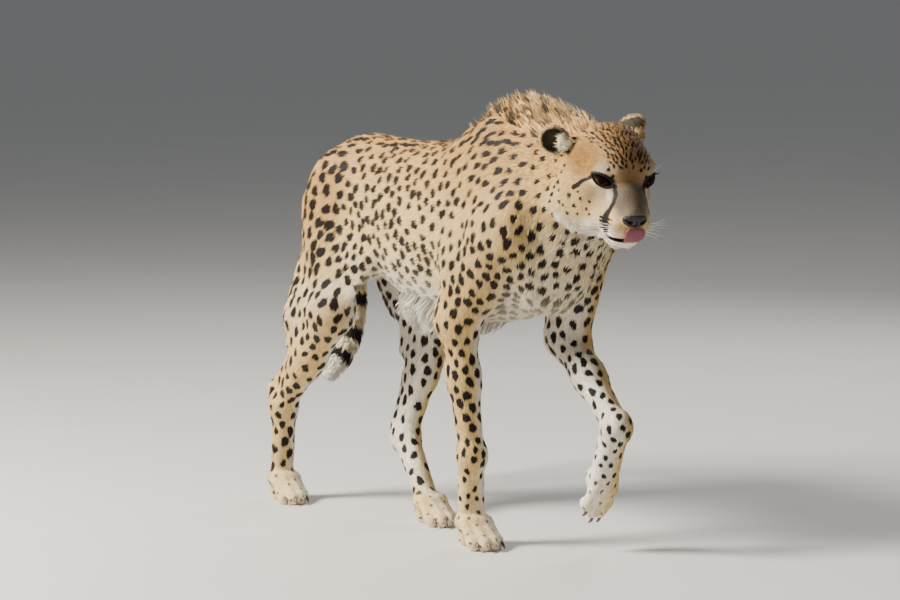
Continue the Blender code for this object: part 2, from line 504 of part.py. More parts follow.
def islands(o):
    bm = bmesh.new()
    bm.from_mesh(o.data)
    seen = set()
    out = []
    for f in bm.faces:
        if f.index in seen:
            continue
        st = [f]
        seen.add(f.index)
        isl = []
        while st:
            g = st.pop()
            isl.append(g.index)
            for e in g.edges:
                for k in e.link_faces:
                    if k.index not in seen:
                        seen.add(k.index)
                        st.append(k)
        out.append(isl)
    bm.free()
    return out


def sub_object(o, faces, name):
    bm = bmesh.new()
    bm.from_mesh(o.data)
    bm.faces.ensure_lookup_table()
    keep = set(faces)
    bmesh.ops.delete(bm, geom=[f for f in bm.faces if f.index not in keep], context='FACES')
    me = bpy.data.meshes.new(name)
    bm.to_mesh(me)
    bm.free()
    q = bpy.data.objects.new(name, me)
    bpy.context.scene.collection.objects.link(q)
    return q


def keep_largest(o):
    isl = islands(o)
    if len(isl) > 1:
        isl.sort(key=len)
        bm = bmesh.new()
        bm.from_mesh(o.data)
        keep = set(isl[-1])
        bmesh.ops.delete(bm, geom=[f for f in bm.faces if f.index not in keep], context='FACES')
        bm.to_mesh(o.data)
        bm.free()
    return o


def open_edges(o):
    bm = bmesh.new()
    bm.from_mesh(o.data)
    n = sum(1 for e in bm.edges if not e.is_manifold)
    bm.free()
    return n


def tidy(o):
    """merge slivers where that keeps the body closed; triangles only"""
    keep_largest(o)
    start = o.data.copy()
    for dist in (2e-5, 8e-6, 2e-6, 0.):
        bm = bmesh.new()
        bm.from_mesh(start)
        if dist:
            bmesh.ops.remove_doubles(bm, verts=bm.verts, dist=dist)
            bmesh.ops.dissolve_degenerate(bm, edges=bm.edges, dist=dist)
        bmesh.ops.triangulate(bm, faces=bm.faces)
        bm.normal_update()
        bm.to_mesh(o.data)
        bm.free()
        if not open_edges(o) and len(islands(o)) == 1:
            break
    bpy.data.meshes.remove(start)
    return o


def finish(o, name, mat):
    tidy(o)
    o.name = name
    o.data.name = name
    o.data.materials.clear()
    o.data.materials.append(material(mat))
    n = len(o.data.vertices)
    co = np.zeros(n * 3)
    o.data.vertices.foreach_get('co', co)
    c = co.reshape(-1, 3) + SHIFT
    mid = (c.min(0) + c.max(0)) / 2
    o.data.vertices.foreach_set('co', (c - mid).ravel())
    o.data.update()
    o.location = Vector(mid)
    o.data.shade_smooth()
    o.data.set_sharp_from_angle(angle=np.radians(40))
    return o


HEAD_TRIS, PAW_TRIS, BODY_TRIS = 1400, 364, 2280
BODY = [q for q in PR if q['tag'] not in ('ear', 'earin')]
# ---- head, meshed finely, cut from the neck behind the ears ----
HN = unit((0, -.985, .172)); HC = V((0, -.380, .60))
HA = V((V((1., 0, 0)), HN, np.cross((1., 0, 0), HN)))
def region_box(name, c, axes, half, grow=0.):
    return box(name, c, axes, V(half, float) + grow)
head = solid_from([q for q in BODY if q['tag'] not in ('socket', 'mouth')], V((-.13, -.56, .40)), V((.13, -.34, .73)), .0030, 'head', HEAD_TRIS)
hb = region_box('hb', HC + HN * .14, HA, (.15, .14, .20))
boolean(head, hb, 'INTERSECT')
# ---- paws, meshed finely; soles cut flat at the floor ----
REG = []
def paw_region(key, m, c, n_out, half, air=False):
    """plane near the knuckle: point m moved up the leg"""
    t = unit(c - m)
    p = m + t * .016
    if air:
        w = unit(np.cross(t, (1, 0, 0)))
        A = V((np.cross(w, t), w, t))
        return (key, p - t * .06, A, (.055, .055, .06), air)
    return (key, V((p[0], p[1] - .030, (m[2] + .016) / 2)), np.eye(3), (.050, .075, (m[2] + .016) / 2), air)
for key, a, b, air in (('fore_R', 'mR', 'cR', 0), ('fore_L', 'mL', 'cL', 1), ('hind_R', 'nR', 'oR', 0), ('hind_L', 'nL', 'oL', 0)):
    REG.append(paw_region(key, J[a], J[b], None, None, air))
paws = {}
for key, c, A, half, air in REG:
    r = max(half) * 1.25
    o = solid_from(BODY, c - r, c + r, .0027, 'paw', 2000)
    rb = region_box('rb', c, A, half)
    boolean(o, rb, 'INTERSECT')
    drop(rb)
    keep_largest(o)
    paws[key] = decimated(o, PAW_TRIS)
    if not air:                          # the sole stands flat on the floor
        for q in paws[key].data.vertices:
            if q.co.z < .0005:
                q.co.z = 0.
# ---- the rest, meshed whole and parted by thin cuts ----
body = solid_from(BODY, V((-.18, -.56, -.02)), V((.18, .46, .74)), .0055, 'body', BODY_TRIS)
hb2 = region_box('hb2', HC + HN * .14, HA, (.15, .14 + GAP, .20))
boolean(body, hb2)
drop(hb, hb2)
for key, c, A, half, air in REG:
    g = V(half, float) + V((0, 0, GAP))
    if not air:
        g = V(half, float) + V((0, 0, GAP)); g[2] += .01
        rb = box('rb', c - V((0, 0, .01)), A, g)
    else:
        rb = box('rb', c, A, g)
    boolean(body, rb)
    drop(rb)
def between(a, b, t):
    return J[a] * (1 - t) + J[b] * t
CUTS = [
    ((0, -.318, .575), (0, -.95, .32), (.165, .17)),                # neck | chest
    ((0, -.075, .49), (0, 1, 0), (.22, .16)),                      # chest | abdomen
    ((0, .055, .49), (0, 1, 0), (.22, .16)),                       # abdomen | rump
    ((-.080, -.145, .352), (.62, 0, .78), (.078, .078), (0, 1, 0)),     # forelegs
    ((.096, -.205, .356), (-.62, 0, .78), (.078, .078), (0, 1, 0)),
]
def plate(c, n, w, wr, ur):
    """cut through c square to n, reaching from wr[0] to wr[1] along w and from ur[0] to ur[1] across it"""
    n = unit(V(n, float)); w = V(w, float)
    w = unit(w - n * np.dot(w, n)); u = np.cross(n, w)
    return (V(c, float) + w * (wr[0] + wr[1]) / 2 + u * (ur[0] + ur[1]) / 2, n, ((wr[1] - wr[0]) / 2, (ur[1] - ur[0]) / 2), w)
CUTS.append(plate((-.082, .215, .390), (.24, -.24, .94), (0, 1, 0), (-.101, .124), (-.063, .048)))    # thighs
CUTS.append(plate((.075, .17, .375), (-.24, -.24, .94), (0, 1, 0), (-.103, .119), (-.057, .049)))
for s, back in (('R', .123), ('L', .081)):
    CUTS.append(plate(between('k' + s, 'o' + s, .38), J['o' + s] - J['k' + s], (1, 0, 0), (-.042, .047), (-back, .047)))
    CUTS.append((between('k' + s, 'o' + s, .90), J['o' + s] - J['k' + s], (.075, .06)))
    CUTS.append((between('c' + s, 'e' + s, .16), J['e' + s] - J['c' + s], (.045, .045)))
TP = V(TAIL, float)
for t, r in ((2.2, .032), (3.3, .036), (4.7, .036), (6.2, .036)):
    i = int(t); p = TP[i] * (1 - t + i) + TP[i + 1] * (t - i)
    CUTS.append((p, TP[i + 1] - TP[i], (r, r)))
for cdef in CUTS:
    q = slab(*cdef)
    boolean(body, q)
    drop(q)
SEEDS = {
    'neck': (0, -.355, .58), 'chest': (0, -.18, .50), 'abdomen': (0, -.01, .50), 'rump': (0, .20, .53),
    'tail_1': (.050, .375, .51), 'tail_2': (.088, .405, .43), 'tail_3': (.098, .393, .33), 'tail_4': (.055, .375, .235),
    'forearm_R': between('eR', 'cR', .4), 'forearm_L': between('eL', 'cL', .4),
    'pastern_R': between('cR', 'mR', .4), 'pastern_L': between('cL', 'mL', .4),
    'thigh_R': J['kR'], 'thigh_L': J['kL'], 'shank_R': between('kR', 'oR', .5), 'shank_L': between('kL', 'oL', .5),
    'hock_R': between('oR', 'nR', .4), 'hock_L': between('oL', 'nL', .4)}
isl = [i for i in islands(body) if len(i) > 20]
used = {}
for faces in isl:
    q = sub_object(body, faces, 'piece')
    n = len(q.data.vertices)
    co = np.zeros(n * 3); q.data.vertices.foreach_get('co', co); co = co.reshape(-1, 3)
    cen = (co.min(0) + co.max(0)) / 2
    k = min((s for s in SEEDS if s not in used), key=lambda s: np.linalg.norm(V(SEEDS[s]) - cen))
    used[k] = q
    print('piece', k, len(faces), cen.round(3))
print('missing', [s for s in SEEDS if s not in used], 'extra', len(isl) - len(used))
drop(body)
# ---- eyes ----
SC = HEAD_S / 1000
for s, nm in ((-1, 'eye_R'), (1, 'eye_L')):
    c, g, a, u = eye_frame(s)
    A = np.stack([a, u, g]) @ HM
    cut = sphere('cut', H(*c), (GLOBE + .75) * SC, axes=A)
    boolean(head, cut)
    drop(cut)
    used[nm] = sphere(nm, H(*c), GLOBE * SC, axes=A)
# ---- mouth ----
cut = sphere('cut', H(0, 33, -73.2), 1., scale=V((24.5, 23, 1.9)) * SC, axes=rotm((1, 0, 0), MOUTH_TILT) @ HM, seg=18, rings=6)
boolean(head, cut)
drop(cut)
# ---- nose leather: the front of the muzzle ----
nose_c, nose_r = H(0, 52.5, -35.5), V((19.5, 13.5, 9.5)) * SC
n_cut = sphere('cut', nose_c, 1., scale=nose_r + GAP * 1.6, axes=HM, seg=16, rings=8)
n_in = sphere('in', nose_c, 1., scale=nose_r, axes=HM, seg=16, rings=8)
nose = offset_copy(head, .0009)
boolean(nose, n_in, 'INTERSECT')
boolean(head, n_cut)
drop(n_cut, n_in)
keep_largest(nose)
keep_largest(head)
used['nose'] = nose
used['head'] = head
# ---- tongue, curled up over the upper lip ----
pts = [H(*q) for q in ((0, 20, -75.0), (0, 36, -72.8), (0, 46.5, -71.2), (.5, 53.2, -67), (1.2, 56.2, -58), (1.2, 56.0, -46.6))]
rad = [V(r) * SC for r in ((11, 1.2), (13.5, 1.4), (14.6, 2.1), (14.8, 3.0), (15, 2.8), (12, 1.8))]
tongue = loft('tongue', pts, rad, Hd(1, 0, 0), n=9)
hoff = offset_copy(head, GAP * 1.6)
boolean(tongue, hoff)
noff = offset_copy(nose, GAP * 1.6)
boolean(tongue, noff)
keep_largest(tongue)
used['tongue'] = tongue
# ---- ears ----
for s, nm in ((-1, 'ear_R'), (1, 'ear_L')):
    base, a, n_, w = EARS[s]
    c = H(*(base + a * EAR_FORM[s][0]))
    prims = [q for q in PR if q['tag'] in ('ear', 'earin') and np.linalg.norm(q['c'] - c) < .06]
    o = solid_from(prims, c - .055, c + .055, .0020, nm, 280)
    boolean(o, hoff)
    used[nm] = keep_largest(o)
drop(hoff, noff)
for nm in ('ear_R', 'ear_L'):          # the neck and the ears keep clear of each other
    off = offset_copy(used['neck'], GAP * 1.6)
    boolean(used[nm], off)
    drop(off)
    keep_largest(used[nm])
# ---- claws ----
for key, toes in CLAWS:
    k = {'fR': 'fore_R', 'fL': 'fore_L', 'hR': 'hind_R', 'hL': 'hind_L'}[key]
    off = offset_copy(paws[k], GAP * 1.6)
    for i, (p0, p1, p2) in enumerate(toes):
        side = np.cross(p1 - p0, (0, 0, 1.))
        if np.linalg.norm(side) < 1e-6:
            side = V((1., 0, 0))
        cl = loft('claw', [p0, p0 * .45 + p1 * .55, p1, p2], [(.0033, .0040), (.0028, .0036), (.0021, .0027), (.0006, .0008)], side, n=5)
        boolean(cl, off)
        used['claw_%s_%d' % (k, i + 1)] = keep_largest(cl)
    drop(off)
    used['paw_' + k] = paws[k]
tri = 0
counts = []
for k, o in used.items():
    mat = 'claw' if k.startswith('claw') else k.split('_')[0] if k.split('_')[0] in ('eye', 'nose', 'tongue') else 'coat'
    finish(o, k, mat)
    tri += len(o.data.polygons)
    counts.append('%s %d' % (k, len(o.data.polygons)))
allv = []
for o in bpy.data.objects:
    n = len(o.data.vertices); co = np.zeros(n * 3); o.data.vertices.foreach_get('co', co)
    allv.append(co.reshape(-1, 3) + V(o.location))
A = np.concatenate(allv)
print('objects', len(used), 'triangles', tri, 'box', A.min(0).round(4), A.max(0).round(4))
print(', '.join(counts))
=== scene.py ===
"""A cheetah in mid stride: skin, coat, eyes, nose, tongue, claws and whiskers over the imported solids."""
import time
import bpy, bmesh
from mathutils import Vector, Matrix


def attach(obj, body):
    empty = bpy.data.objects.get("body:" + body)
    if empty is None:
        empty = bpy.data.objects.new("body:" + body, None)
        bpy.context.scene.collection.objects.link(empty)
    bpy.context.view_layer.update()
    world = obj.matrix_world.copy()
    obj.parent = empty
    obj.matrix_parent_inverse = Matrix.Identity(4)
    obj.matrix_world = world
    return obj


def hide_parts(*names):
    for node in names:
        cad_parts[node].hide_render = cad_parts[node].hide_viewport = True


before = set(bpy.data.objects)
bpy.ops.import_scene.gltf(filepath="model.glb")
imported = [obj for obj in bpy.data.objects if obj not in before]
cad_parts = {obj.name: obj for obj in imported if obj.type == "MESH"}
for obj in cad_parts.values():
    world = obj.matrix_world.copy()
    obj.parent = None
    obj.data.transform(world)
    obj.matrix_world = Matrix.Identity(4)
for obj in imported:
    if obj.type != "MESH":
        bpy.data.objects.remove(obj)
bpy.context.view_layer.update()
T0 = time.time()

GLOBE = 16.2                    # eyeball radius, mm of head
LID = 2.6                       # thickness of the lids over the eyeball, mm
LID_OPENING = 16.2              # half width of the opening between the lids, mm
import numpy as np
V=np.array
def unit(v):
    v=np.asarray(v,float); return v/np.linalg.norm(v)
def smin(a,b,k):
    h=np.clip(.5+.5*(b-a)/k,0,1); return b+(a-b)*h-k*h*(1-h)
def smax(a,b,k): return -smin(-a,-b,k)
# ---------- primitives: each is (fn, centre, reach, k, op, tag, flow, fur) ----------
PR=[]
def add(fn,c,R,k,op='+',tag='',flow=(0,1,0),fur=0):
    PR.append(dict(f=fn,c=V(c,float),R=R,k=k,op=op,tag=tag,flow=V(flow,float),fur=fur))
def basis(ax,wide):
    t=unit(ax); w=V(wide,float)-t*np.dot(wide,t); w=unit(w); return t,w,np.cross(t,w)
def ell(c,r,k=.02,rot=None,**kw):
    """ellipsoid: centre, radii, rot rows = local axes"""
    c=V(c,float); r=V(r,float); M=np.eye(3) if rot is None else rot
    def f(p):
        q=(p-c)@M.T/r
        k0=np.sqrt((q*q).sum(-1)); k1=np.sqrt(((q/r)**2).sum(-1))
        return k0*(k0-1)/np.maximum(k1,1e-6)
    add(f,c,r.max(),k,**kw)
def limb(a,b,wide,ra,rb,k=.02,bulge=0,**kw):
    """tapered rod with an oval section: ends a,b; wide = direction of the long radius; ra,rb=(wide,narrow)"""
    a=V(a,float);b=V(b,float);ab=b-a;L=np.linalg.norm(ab);t,w,n=basis(ab,wide)
    ra=V(ra if np.ndim(ra) else (ra,ra),float);rb=V(rb if np.ndim(rb) else (rb,rb),float)
    def f(p):
        q=p-a;s=q@t;h=np.clip(s/L,0,1);ex=s-h*L
        g=h*h*(3-2*h)*.5+h*.5
        r=ra[:,None]*(1-g)+rb[:,None]*g
        if bulge: r=r*(1+bulge*4*h*(1-h))
        x=(q@w)/r[0];y=(q@n)/r[1];rm=np.minimum(r[0],r[1]);z=ex/rm
        k0=np.sqrt(x*x+y*y+z*z);k1=np.sqrt((x/r[0])**2+(y/r[1])**2+(z/rm)**2)
        return k0*(k0-1)/np.maximum(k1,1e-6)
    kw.setdefault('flow',t)
    add(f,(a+b)/2,L/2+max(ra.max(),rb.max())*(1+bulge),k,**kw)
def curve(ys,vals,n=400):
    """smooth table through named stations (Catmull-Rom)"""
    ys=V(ys,float);vals=V(vals,float);m=np.gradient(vals,ys)
    t=np.linspace(ys[0],ys[-1],n);i=np.clip(np.searchsorted(ys,t)-1,0,len(ys)-2)
    h=ys[i+1]-ys[i];s=(t-ys[i])/h
    v=(2*s**3-3*s**2+1)*vals[i]+(s**3-2*s**2+s)*h*m[i]+(-2*s**3+3*s**2)*vals[i+1]+(s**3-s**2)*h*m[i+1]
    return t,v
def hose(st,k=.02,lean=0.,**kw):
    """trunk along Y: stations (y,top,bottom,halfwidth,egg)"""
    st=V(st,float);st=st[np.argsort(st[:,0])];T=[curve(st[:,0],st[:,j]) for j in range(1,5)];ty=T[0][0]
    y0,y1=st[0,0],st[-1,0]
    def f(p):
        y=np.clip(p[:,1],y0,y1);ex=p[:,1]-y
        top,bot,w,eg=[np.interp(y,ty,t[1]) for t in T]
        h=(top-bot)/2;zc=(top+bot)/2;t=np.clip((p[:,2]-zc)/h,-1.3,1.3)
        we=w*(1+eg*t-.04*t*t);x=p[:,0]/we;z=(p[:,2]-zc)/h;rm=np.minimum(w,h);e=ex/rm
        k0=np.sqrt(x*x+z*z+e*e);k1=np.sqrt((x/we)**2+(z/h)**2+(e/rm)**2)
        return k0*(k0-1)/np.maximum(k1,1e-6)
    add(f,(0,(y0+y1)/2,.5),(y1-y0)/2+.2,k,**kw)
def chain(pts,rad,k=.02,wide=(1,0,0),flat=1.,**kw):
    """tube through points with radii (smoothed), as one primitive"""
    P_=V(pts,float);n=len(P_);s=np.arange(n);ss=np.linspace(0,n-1,(n-1)*6+1)
    C=np.stack([curve(s,P_[:,j],len(ss))[1] for j in range(3)],1);r=curve(s,rad,len(ss))[1]
    seg=C[1:]-C[:-1];L2=(seg**2).sum(1)
    def f(p):
        d=np.full(len(p),9.)
        for i in range(len(seg)):
            q=p-C[i];h=np.clip((q@seg[i])/L2[i],0,1)
            d=np.minimum(d,np.sqrt(((q-h[:,None]*seg[i])**2).sum(-1))-(r[i]*(1-h)+r[i+1]*h))
        return d
    kw.setdefault('flow',unit(C[-1]-C[0]))
    add(f,C.mean(0),np.sqrt(((C-C.mean(0))**2).sum(1)).max()+max(rad),k,**kw)
    return C,r
# ---------- joints ----------
J=dict(sR=(-.079,-.268,.521),eR=(-.073,-.137,.359),cR=(-.060,-.155,.148),mR=(-.050,-.140,.040),
 sL=(.076,-.279,.516),eL=(.096,-.204,.324),cL=(.060,-.369,.206),mL=(.070,-.326,.118),
 hR=(-.052,.268,.552),kR=(-.090,.185,.348),oR=(-.070,.359,.168),nR=(-.060,.384,.040),
 hL=(.052,.264,.550),kL=(.084,.121,.363),oL=(.046,.165,.126),nL=(.014,.064,.038))
J={a:V(b,float) for a,b in J.items()}
HEAD_POS=V((-.005,-.464,.595));HEAD_S=1.039
def head_axes(yaw,pitch,roll):
    y,p,r=np.radians([yaw,pitch,roll])
    f=V([-np.sin(y)*np.cos(p),-np.cos(y)*np.cos(p),-np.sin(p)]);l=V([np.cos(y),-np.sin(y),0]);u=np.cross(f,l)
    return np.stack([l*np.cos(r)+u*np.sin(r),f,-l*np.sin(r)+u*np.cos(r)])
HM=head_axes(15.,22.5,-1.5)
def H(x,y,z): return HEAD_POS+HEAD_S*V((x,y,z),float)/1000@HM
def Hd(x,y,z): return V((x,y,z),float)@HM
def hell(c,r,k,rot=None,**kw):
    M=HM if rot is None else rot@HM
    ell(H(*c),V(r,float)*HEAD_S/1000,k/1000,rot=M,**kw)
def hlimb(a,b,wide,ra,rb,k,**kw):
    s=HEAD_S/1000
    limb(H(*a),H(*b),Hd(*wide),V(ra if np.ndim(ra) else (ra,ra))*s,V(rb if np.ndim(rb) else (rb,rb))*s,k/1000,**kw)
def rotm(ax,deg):
    a=unit(ax);t=np.radians(deg);K=V([[0,-a[2],a[1]],[a[2],0,-a[0]],[-a[1],a[0],0]])
    return (np.eye(3)+np.sin(t)*K+(1-np.cos(t))*K@K).T
def paw(c,fwd,up,s=1.,hind=False,side=1,air=False,tag='paw'):
    """c = knuckle joint centre; fwd heading; toes reach the ground plane unless in the air"""
    f=unit(fwd);u=V(up,float);u=unit(u-f*np.dot(u,f));l=np.cross(u,f)   # l = across
    W=lambda x,y,z:c+s*(l*x+f*y+u*z)/1000
    M=np.stack([l,f,u])
    z0=-c[2]*1000/s if not air else -30.
    toes=[(-19.5,40,-7),(-7.2,53,-2),(7.2,54,2),(19.5,42,7)] if not hind else [(-17.5,42,-6),(-6.6,55,-2),(6.6,55,2),(17.5,42,6)]
    out=[]
    ell(W(0,6,-4),V((25,27,19))*s/1000,.012,rot=M,tag=tag,flow=f)
    for x,y,a in toes:
        d=unit((np.sin(np.radians(a)),np.cos(np.radians(a)),0))
        kn=W(x*.92,y*.42,-2);tp=W(x*1.06,y,z0+14.5)
        limb(W(x*.75,-4,0),kn,l,.0105*s,.0105*s,.008,tag=tag,flow=f)
        limb(kn,tp,l,.0108*s,.0112*s,.006,tag=tag,flow=f)
        ell(W(x*1.08,y+4,z0+11.5),V((10.2,12.5,11.2))*s/1000,.005,rot=M,tag=tag,flow=f)
        ell(W(x*1.08,y+2,z0+4.5),V((7.8,10.5,6.5))*s/1000,.0025,rot=M,tag='pad',flow=f)
        out.append((W(x*1.10,y+11,z0+13.5),W(x*1.14,y+20,z0+9.5),W(x*1.16,y+25,z0+2.5)))
    ell(W(0,-3,z0+12),V((21,17,14))*s/1000,.010,rot=M,tag=tag,flow=f)
    ell(W(0,-2,z0+6),V((17.5,13.5,8))*s/1000,.004,rot=M,tag='pad',flow=f)
    return out
CLAWS=[]
# ---------- trunk ----------
hose([(-.325,.585,.430,.050,.05),(-.30,.622,.402,.070,.05),(-.25,.650,.374,.086,.06),(-.20,.658,.359,.094,.06),(-.12,.654,.350,.099,.05),
 (-.04,.641,.349,.101,.02),(.03,.634,.360,.098,0),(.09,.634,.382,.090,0),(.15,.638,.404,.080,.0),(.21,.638,.420,.074,.0),
 (.245,.628,.432,.073,-.02),(.275,.610,.448,.062,-.02),(.297,.583,.480,.045,0)],.02,tag='trunk',flow=(0,.93,-.3))
ell((0,.262,.535),(.042,.042,.046),.03,tag='rump',flow=(0,.6,-.8))
for sg,S in ((-1,'R'),(1,'L')):
    s_,e_,c_,m_=[J[a+S] for a in 'secm']
    top=V((sg*.040,-.160,.650)) if S=='R' else V((sg*.038,-.185,.642))
    limb(s_+V((0,.012,-.01)),top,(0,1,0),(.060,.037),(.060,.024),.04,tag='shoulder',flow=(0,.55,-.83))
    limb(top+V((0,.03,-.05)),(s_+e_)/2+V((0,.045,.02)),(0,1,0),(.05,.026),(.045,.032),.03,tag='shoulder',flow=(0,.3,-.95))
    limb(s_,e_,(0,1,0),(.050,.038),(.036,.031),.03,tag='arm',flow=(0,.35,-.93))
    limb((s_*.45+e_*.55)+V((0,.034,.015)),e_+V((0,.018,.004)),(0,1,0),(.040,.028),(.026,.022),.025,tag='arm',flow=(0,.2,-.98))
    ell(s_+V((-sg*.012,-.022,-.005)),(.040,.036,.052),.03,tag='shoulder',flow=(0,.2,-.98))
    # forearm
    fw=unit(np.cross(c_-e_,(1,0,0)));fw=fw*(-1 if fw[1]>0 else 1)
    limb(e_,e_*.55+c_*.45,(0,1,0) if S=='R' else (0,1,1),(.036,.0285) if S=='R' else (.040,.031),(.0275,.0235) if S=='R' else (.030,.025),.02,tag='forearm')
    limb(e_*.6+c_*.4,c_,(0,1,0) if S=='R' else (0,1,1),(.0275,.0235) if S=='R' else (.030,.025),(.0215,.0215),.02,tag='forearm')
    ell(e_+V((0,.020,.014)) if S=='R' else e_+V((0,.022,.008)),(.018,.022,.026),.016,tag='arm')
# carpus, metacarpus, paws: right standing, left hanging
c_,m_=J['cR'],J['mR']
ell(c_+V((0,-.004,0)),(.0225,.0235,.027),.012,tag='wrist',flow=(0,0,-1))
ell(c_+V((.004,.020,-.012)),(.010,.011,.013),.008,tag='wrist',flow=(0,0,-1))
limb(c_,m_,(1,0,0),(.0220,.0200),(.0240,.0190),.012,tag='pastern')
CLAWS+=[('fR',paw(m_,(-.12,-1,0),(0,0,1),1.0,tag='paw'))]
c_,m_=J['cL'],J['mL']
ell(c_+V((0,.0,.004)),(.0225,.026,.026),.012,tag='wrist',flow=(0,0,-1))
ell(c_+V((.0,.030,-.020)),(.010,.010,.012),.008,tag='wrist',flow=(0,0,-1))
limb(c_+V((0,.006,-.008)),m_+V((0,.004,0)),(1,0,0),(.0225,.0220),(.0245,.0225),.012,tag='pastern')
CLAWS+=[('fL',paw(m_,(.0,.06,-1),(0,-1,-.06),.93,air=True,tag='paw'))]
# ---------- hind limbs ----------
for sg,S in ((-1,'R'),(1,'L')):
    h_,k_,o_,n_=[J[a+S] for a in 'hkon']
    side=(0,1,0)
    limb(h_+V((0,-.018,-.030)),k_+V((-sg*.006,.012,.012)),(0,1,.25),(.052,.040),(.046,.034),.03,tag='thigh',flow=(0,.45,-.9))
    isch=V((sg*.040,.262,.486))
    ham=V((sg*.078,.290,.326)) if S=='R' else V((sg*.076,.208,.348))
    limb(isch,ham,(0,1,0),(.042,.033),(.046,.030),.03,tag='thigh',flow=(0,.3,-.95))
    ell(h_+V((sg*.005,-.052,.008)),(.033,.050,.048),.035,tag='thigh',flow=(0,.6,-.8))
    ell(k_+V((0,-.002,0)),(.032,.031,.038),.022,tag='knee',flow=(0,.2,-.98))
    # shank with calf
    t=unit(o_-k_)
    limb(k_+V((0,.006,-.004)),k_*.45+o_*.55,(0,1,.4),(.040,.033),(.030,.025),.022,tag='shank')
    limb(k_*.55+o_*.45,o_+V((0,0,.006)),(0,1,.4),(.031,.026),(.0215,.0200),.02,tag='shank')
    limb(k_+V((-sg*.004,.064,.004)),k_*.5+o_*.5+V((0,.040,.026)),(0,1,.4),(.034,.024),(.021,.016),.022,tag='shank')
    hp=V((0,.024,.028)) if S=='R' else V((0,.022,.026))
    limb(k_*.35+o_*.65+V((0,.024,.018)),o_+hp,(0,1,.4),(.014,.012),(.0125,.0115),.014,tag='shank')
    ell(o_+V((0,.002,.0)),(.0215,.026,.027),.014,tag='hock',flow=(0,0,-1))
    limb(o_+hp,o_+V((0,.016,-.012))*1.,(1,0,0),(.0135,.0135),(.0150,.0150),.012,tag='hock',flow=(0,0,-1))
    limb(o_,n_,(0,1,0),(.0235,.0205),(.0185,.0215),.014,tag='shank')
CLAWS+=[('hR',paw(J['nR'],(-.16,-1,0),(0,0,1),.98,hind=True,tag='paw'))]
CLAWS+=[('hL',paw(J['nL'],(-.10,-1,0),(0,0,1),.98,hind=True,tag='paw'))]
# flank folds
limb((-.084,.160,.385),(-.070,.100,.455),(0,1,.8),(.030,.010),(.022,.012),.025,tag='trunk',flow=(0,.5,-.85))
limb((.080,.105,.395),(.070,.070,.450),(0,1,.8),(.030,.010),(.022,.012),.025,tag='trunk',flow=(0,.5,-.85))
ell((-.054,.158,.438),(.026,.046,.040),.035,tag='trunk',flow=(0,.5,-.85))
ell((.054,.120,.432),(.026,.046,.040),.035,tag='trunk',flow=(0,.5,-.85))
# ---------- tail ----------
TAIL=[(0,.262,.570),(.008,.308,.552),(.030,.352,.526),(.062,.388,.492),(.094,.410,.430),(.104,.400,.366),(.094,.388,.300),(.068,.378,.250),(.036,.370,.215)]
TAILR=[.030,.0270,.0245,.0228,.0215,.0215,.0215,.0215,.0155]
# ---------- neck ----------
NK0=V((0,-.225,.572));NK1=V((-.003,-.400,.600))
limb(NK0,NK1,(0,0,1),(.110,.074),(.074,.057),.04,tag='neck',flow=(0,.93,-.35))
limb((0,-.30,.50),(0,-.378,.560),(0,0,1),(.070,.064),(.053,.054),.035,tag='neck',flow=(0,.6,-.8))
ell((0,-.285,.455),(.066,.052,.075),.035,tag='chest',flow=(0,.3,-.95))
def build_tail():
    chain(TAIL,TAILR,.02,tag='tail')
build_tail()
# ---------- head (local mm: x left, y forward, z up, origin between the eyes) ----------
def build_head():
    K=dict(tag='head',flow=Hd(0,-1,0))
    hell((0,-58,15),(49,57,46),16,**K)                       # cranium
    hell((0,-23,13),(42,31,33),18,**K)                       # forehead
    hlimb((0,-8,3),(0,42,-26.5),(1,0,0),(22,15),(15.5,12.5),16,**K)    # bridge of the nose
    hell((0,10,-27),(33,31,25),14,**K)                       # upper jaw
    hell((0,19,-46),(30,28,24.5),14,**K)                       # muzzle body
    for s in (-1,1):
        hell((s*15.2,33,-50.5),(16.5,16.5,19.0),11,**K)           # whisker pads
        hlimb((s*28,-4,-15),(s*47,-44,-19),(0,0,1),(13,10),(19,11),16,**K)   # cheekbone
        hell((s*35,-48,-30),(20,34,31),16,**K)               # cheek
        hell((s*31,0,-47),(13,22,19),14,**K)                 # behind the whisker pads
        hell((s*37,-74,-28),(20,28,33),18,**K)               # jaw muscle
        hlimb((s*16,-5,14),(s*43,-27,15),(0,1,0),(10,9),(10,8),16,**K)      # brow
        hlimb((s*12,27,-74),(s*36,-50,-52),(0,0,1),(13,11),(20,17),12,**K)  # lower jaw
        hlimb((s*62,-54,-44),(s*39,-6,-68),(0,0,1),(15,9),(8,6.5),12,**K)    # ruff along the jaw
    hell((0,29.5,-75.5),(18.5,14.5,14.5),10,**K)                     # chin
    hlimb((0,24,-63),(0,-34,-58),(1,0,0),(20,16),(32,26),12,**K)
    hell((0,-66,-44),(43,46,38),20,**K)                      # throat
    hell((0,45.5,-36),(16.5,9.5,11),8,**K)                       # nose end
EYE={}
def eye_frame(s):
    a=unit((s*27.8,-15.4,6.5));g=unit((s*.45,.89,-.06));g=unit(g-a*np.dot(g,a));c=V((s*39.4,-1.2,2.4))-g*(GLOBE-1.2)
    a=a*s;u=np.cross(a,g)
    if u[2]<0: u=-u
    return c,g,a*s,u
build_head()
def body_sdf(p,fur=True,prims=None,margin=.03,dtype=float):
    p=np.asarray(p,dtype);d=np.full(len(p),1.,dtype)
    for q in (PR if prims is None else prims):
        if q['fur'] and not fur: continue
        dd=p-q['c'].astype(dtype);r2=(dd*dd).sum(-1);R=q['R']+margin+q['k']
        m=r2<R*R
        if not m.any(): continue
        i=np.nonzero(m)[0];v=q['f'](p[i])
        d[i]=smin(d[i],v,q['k']) if q['op']=='+' else smax(d[i],-v,q['k'])
    return d
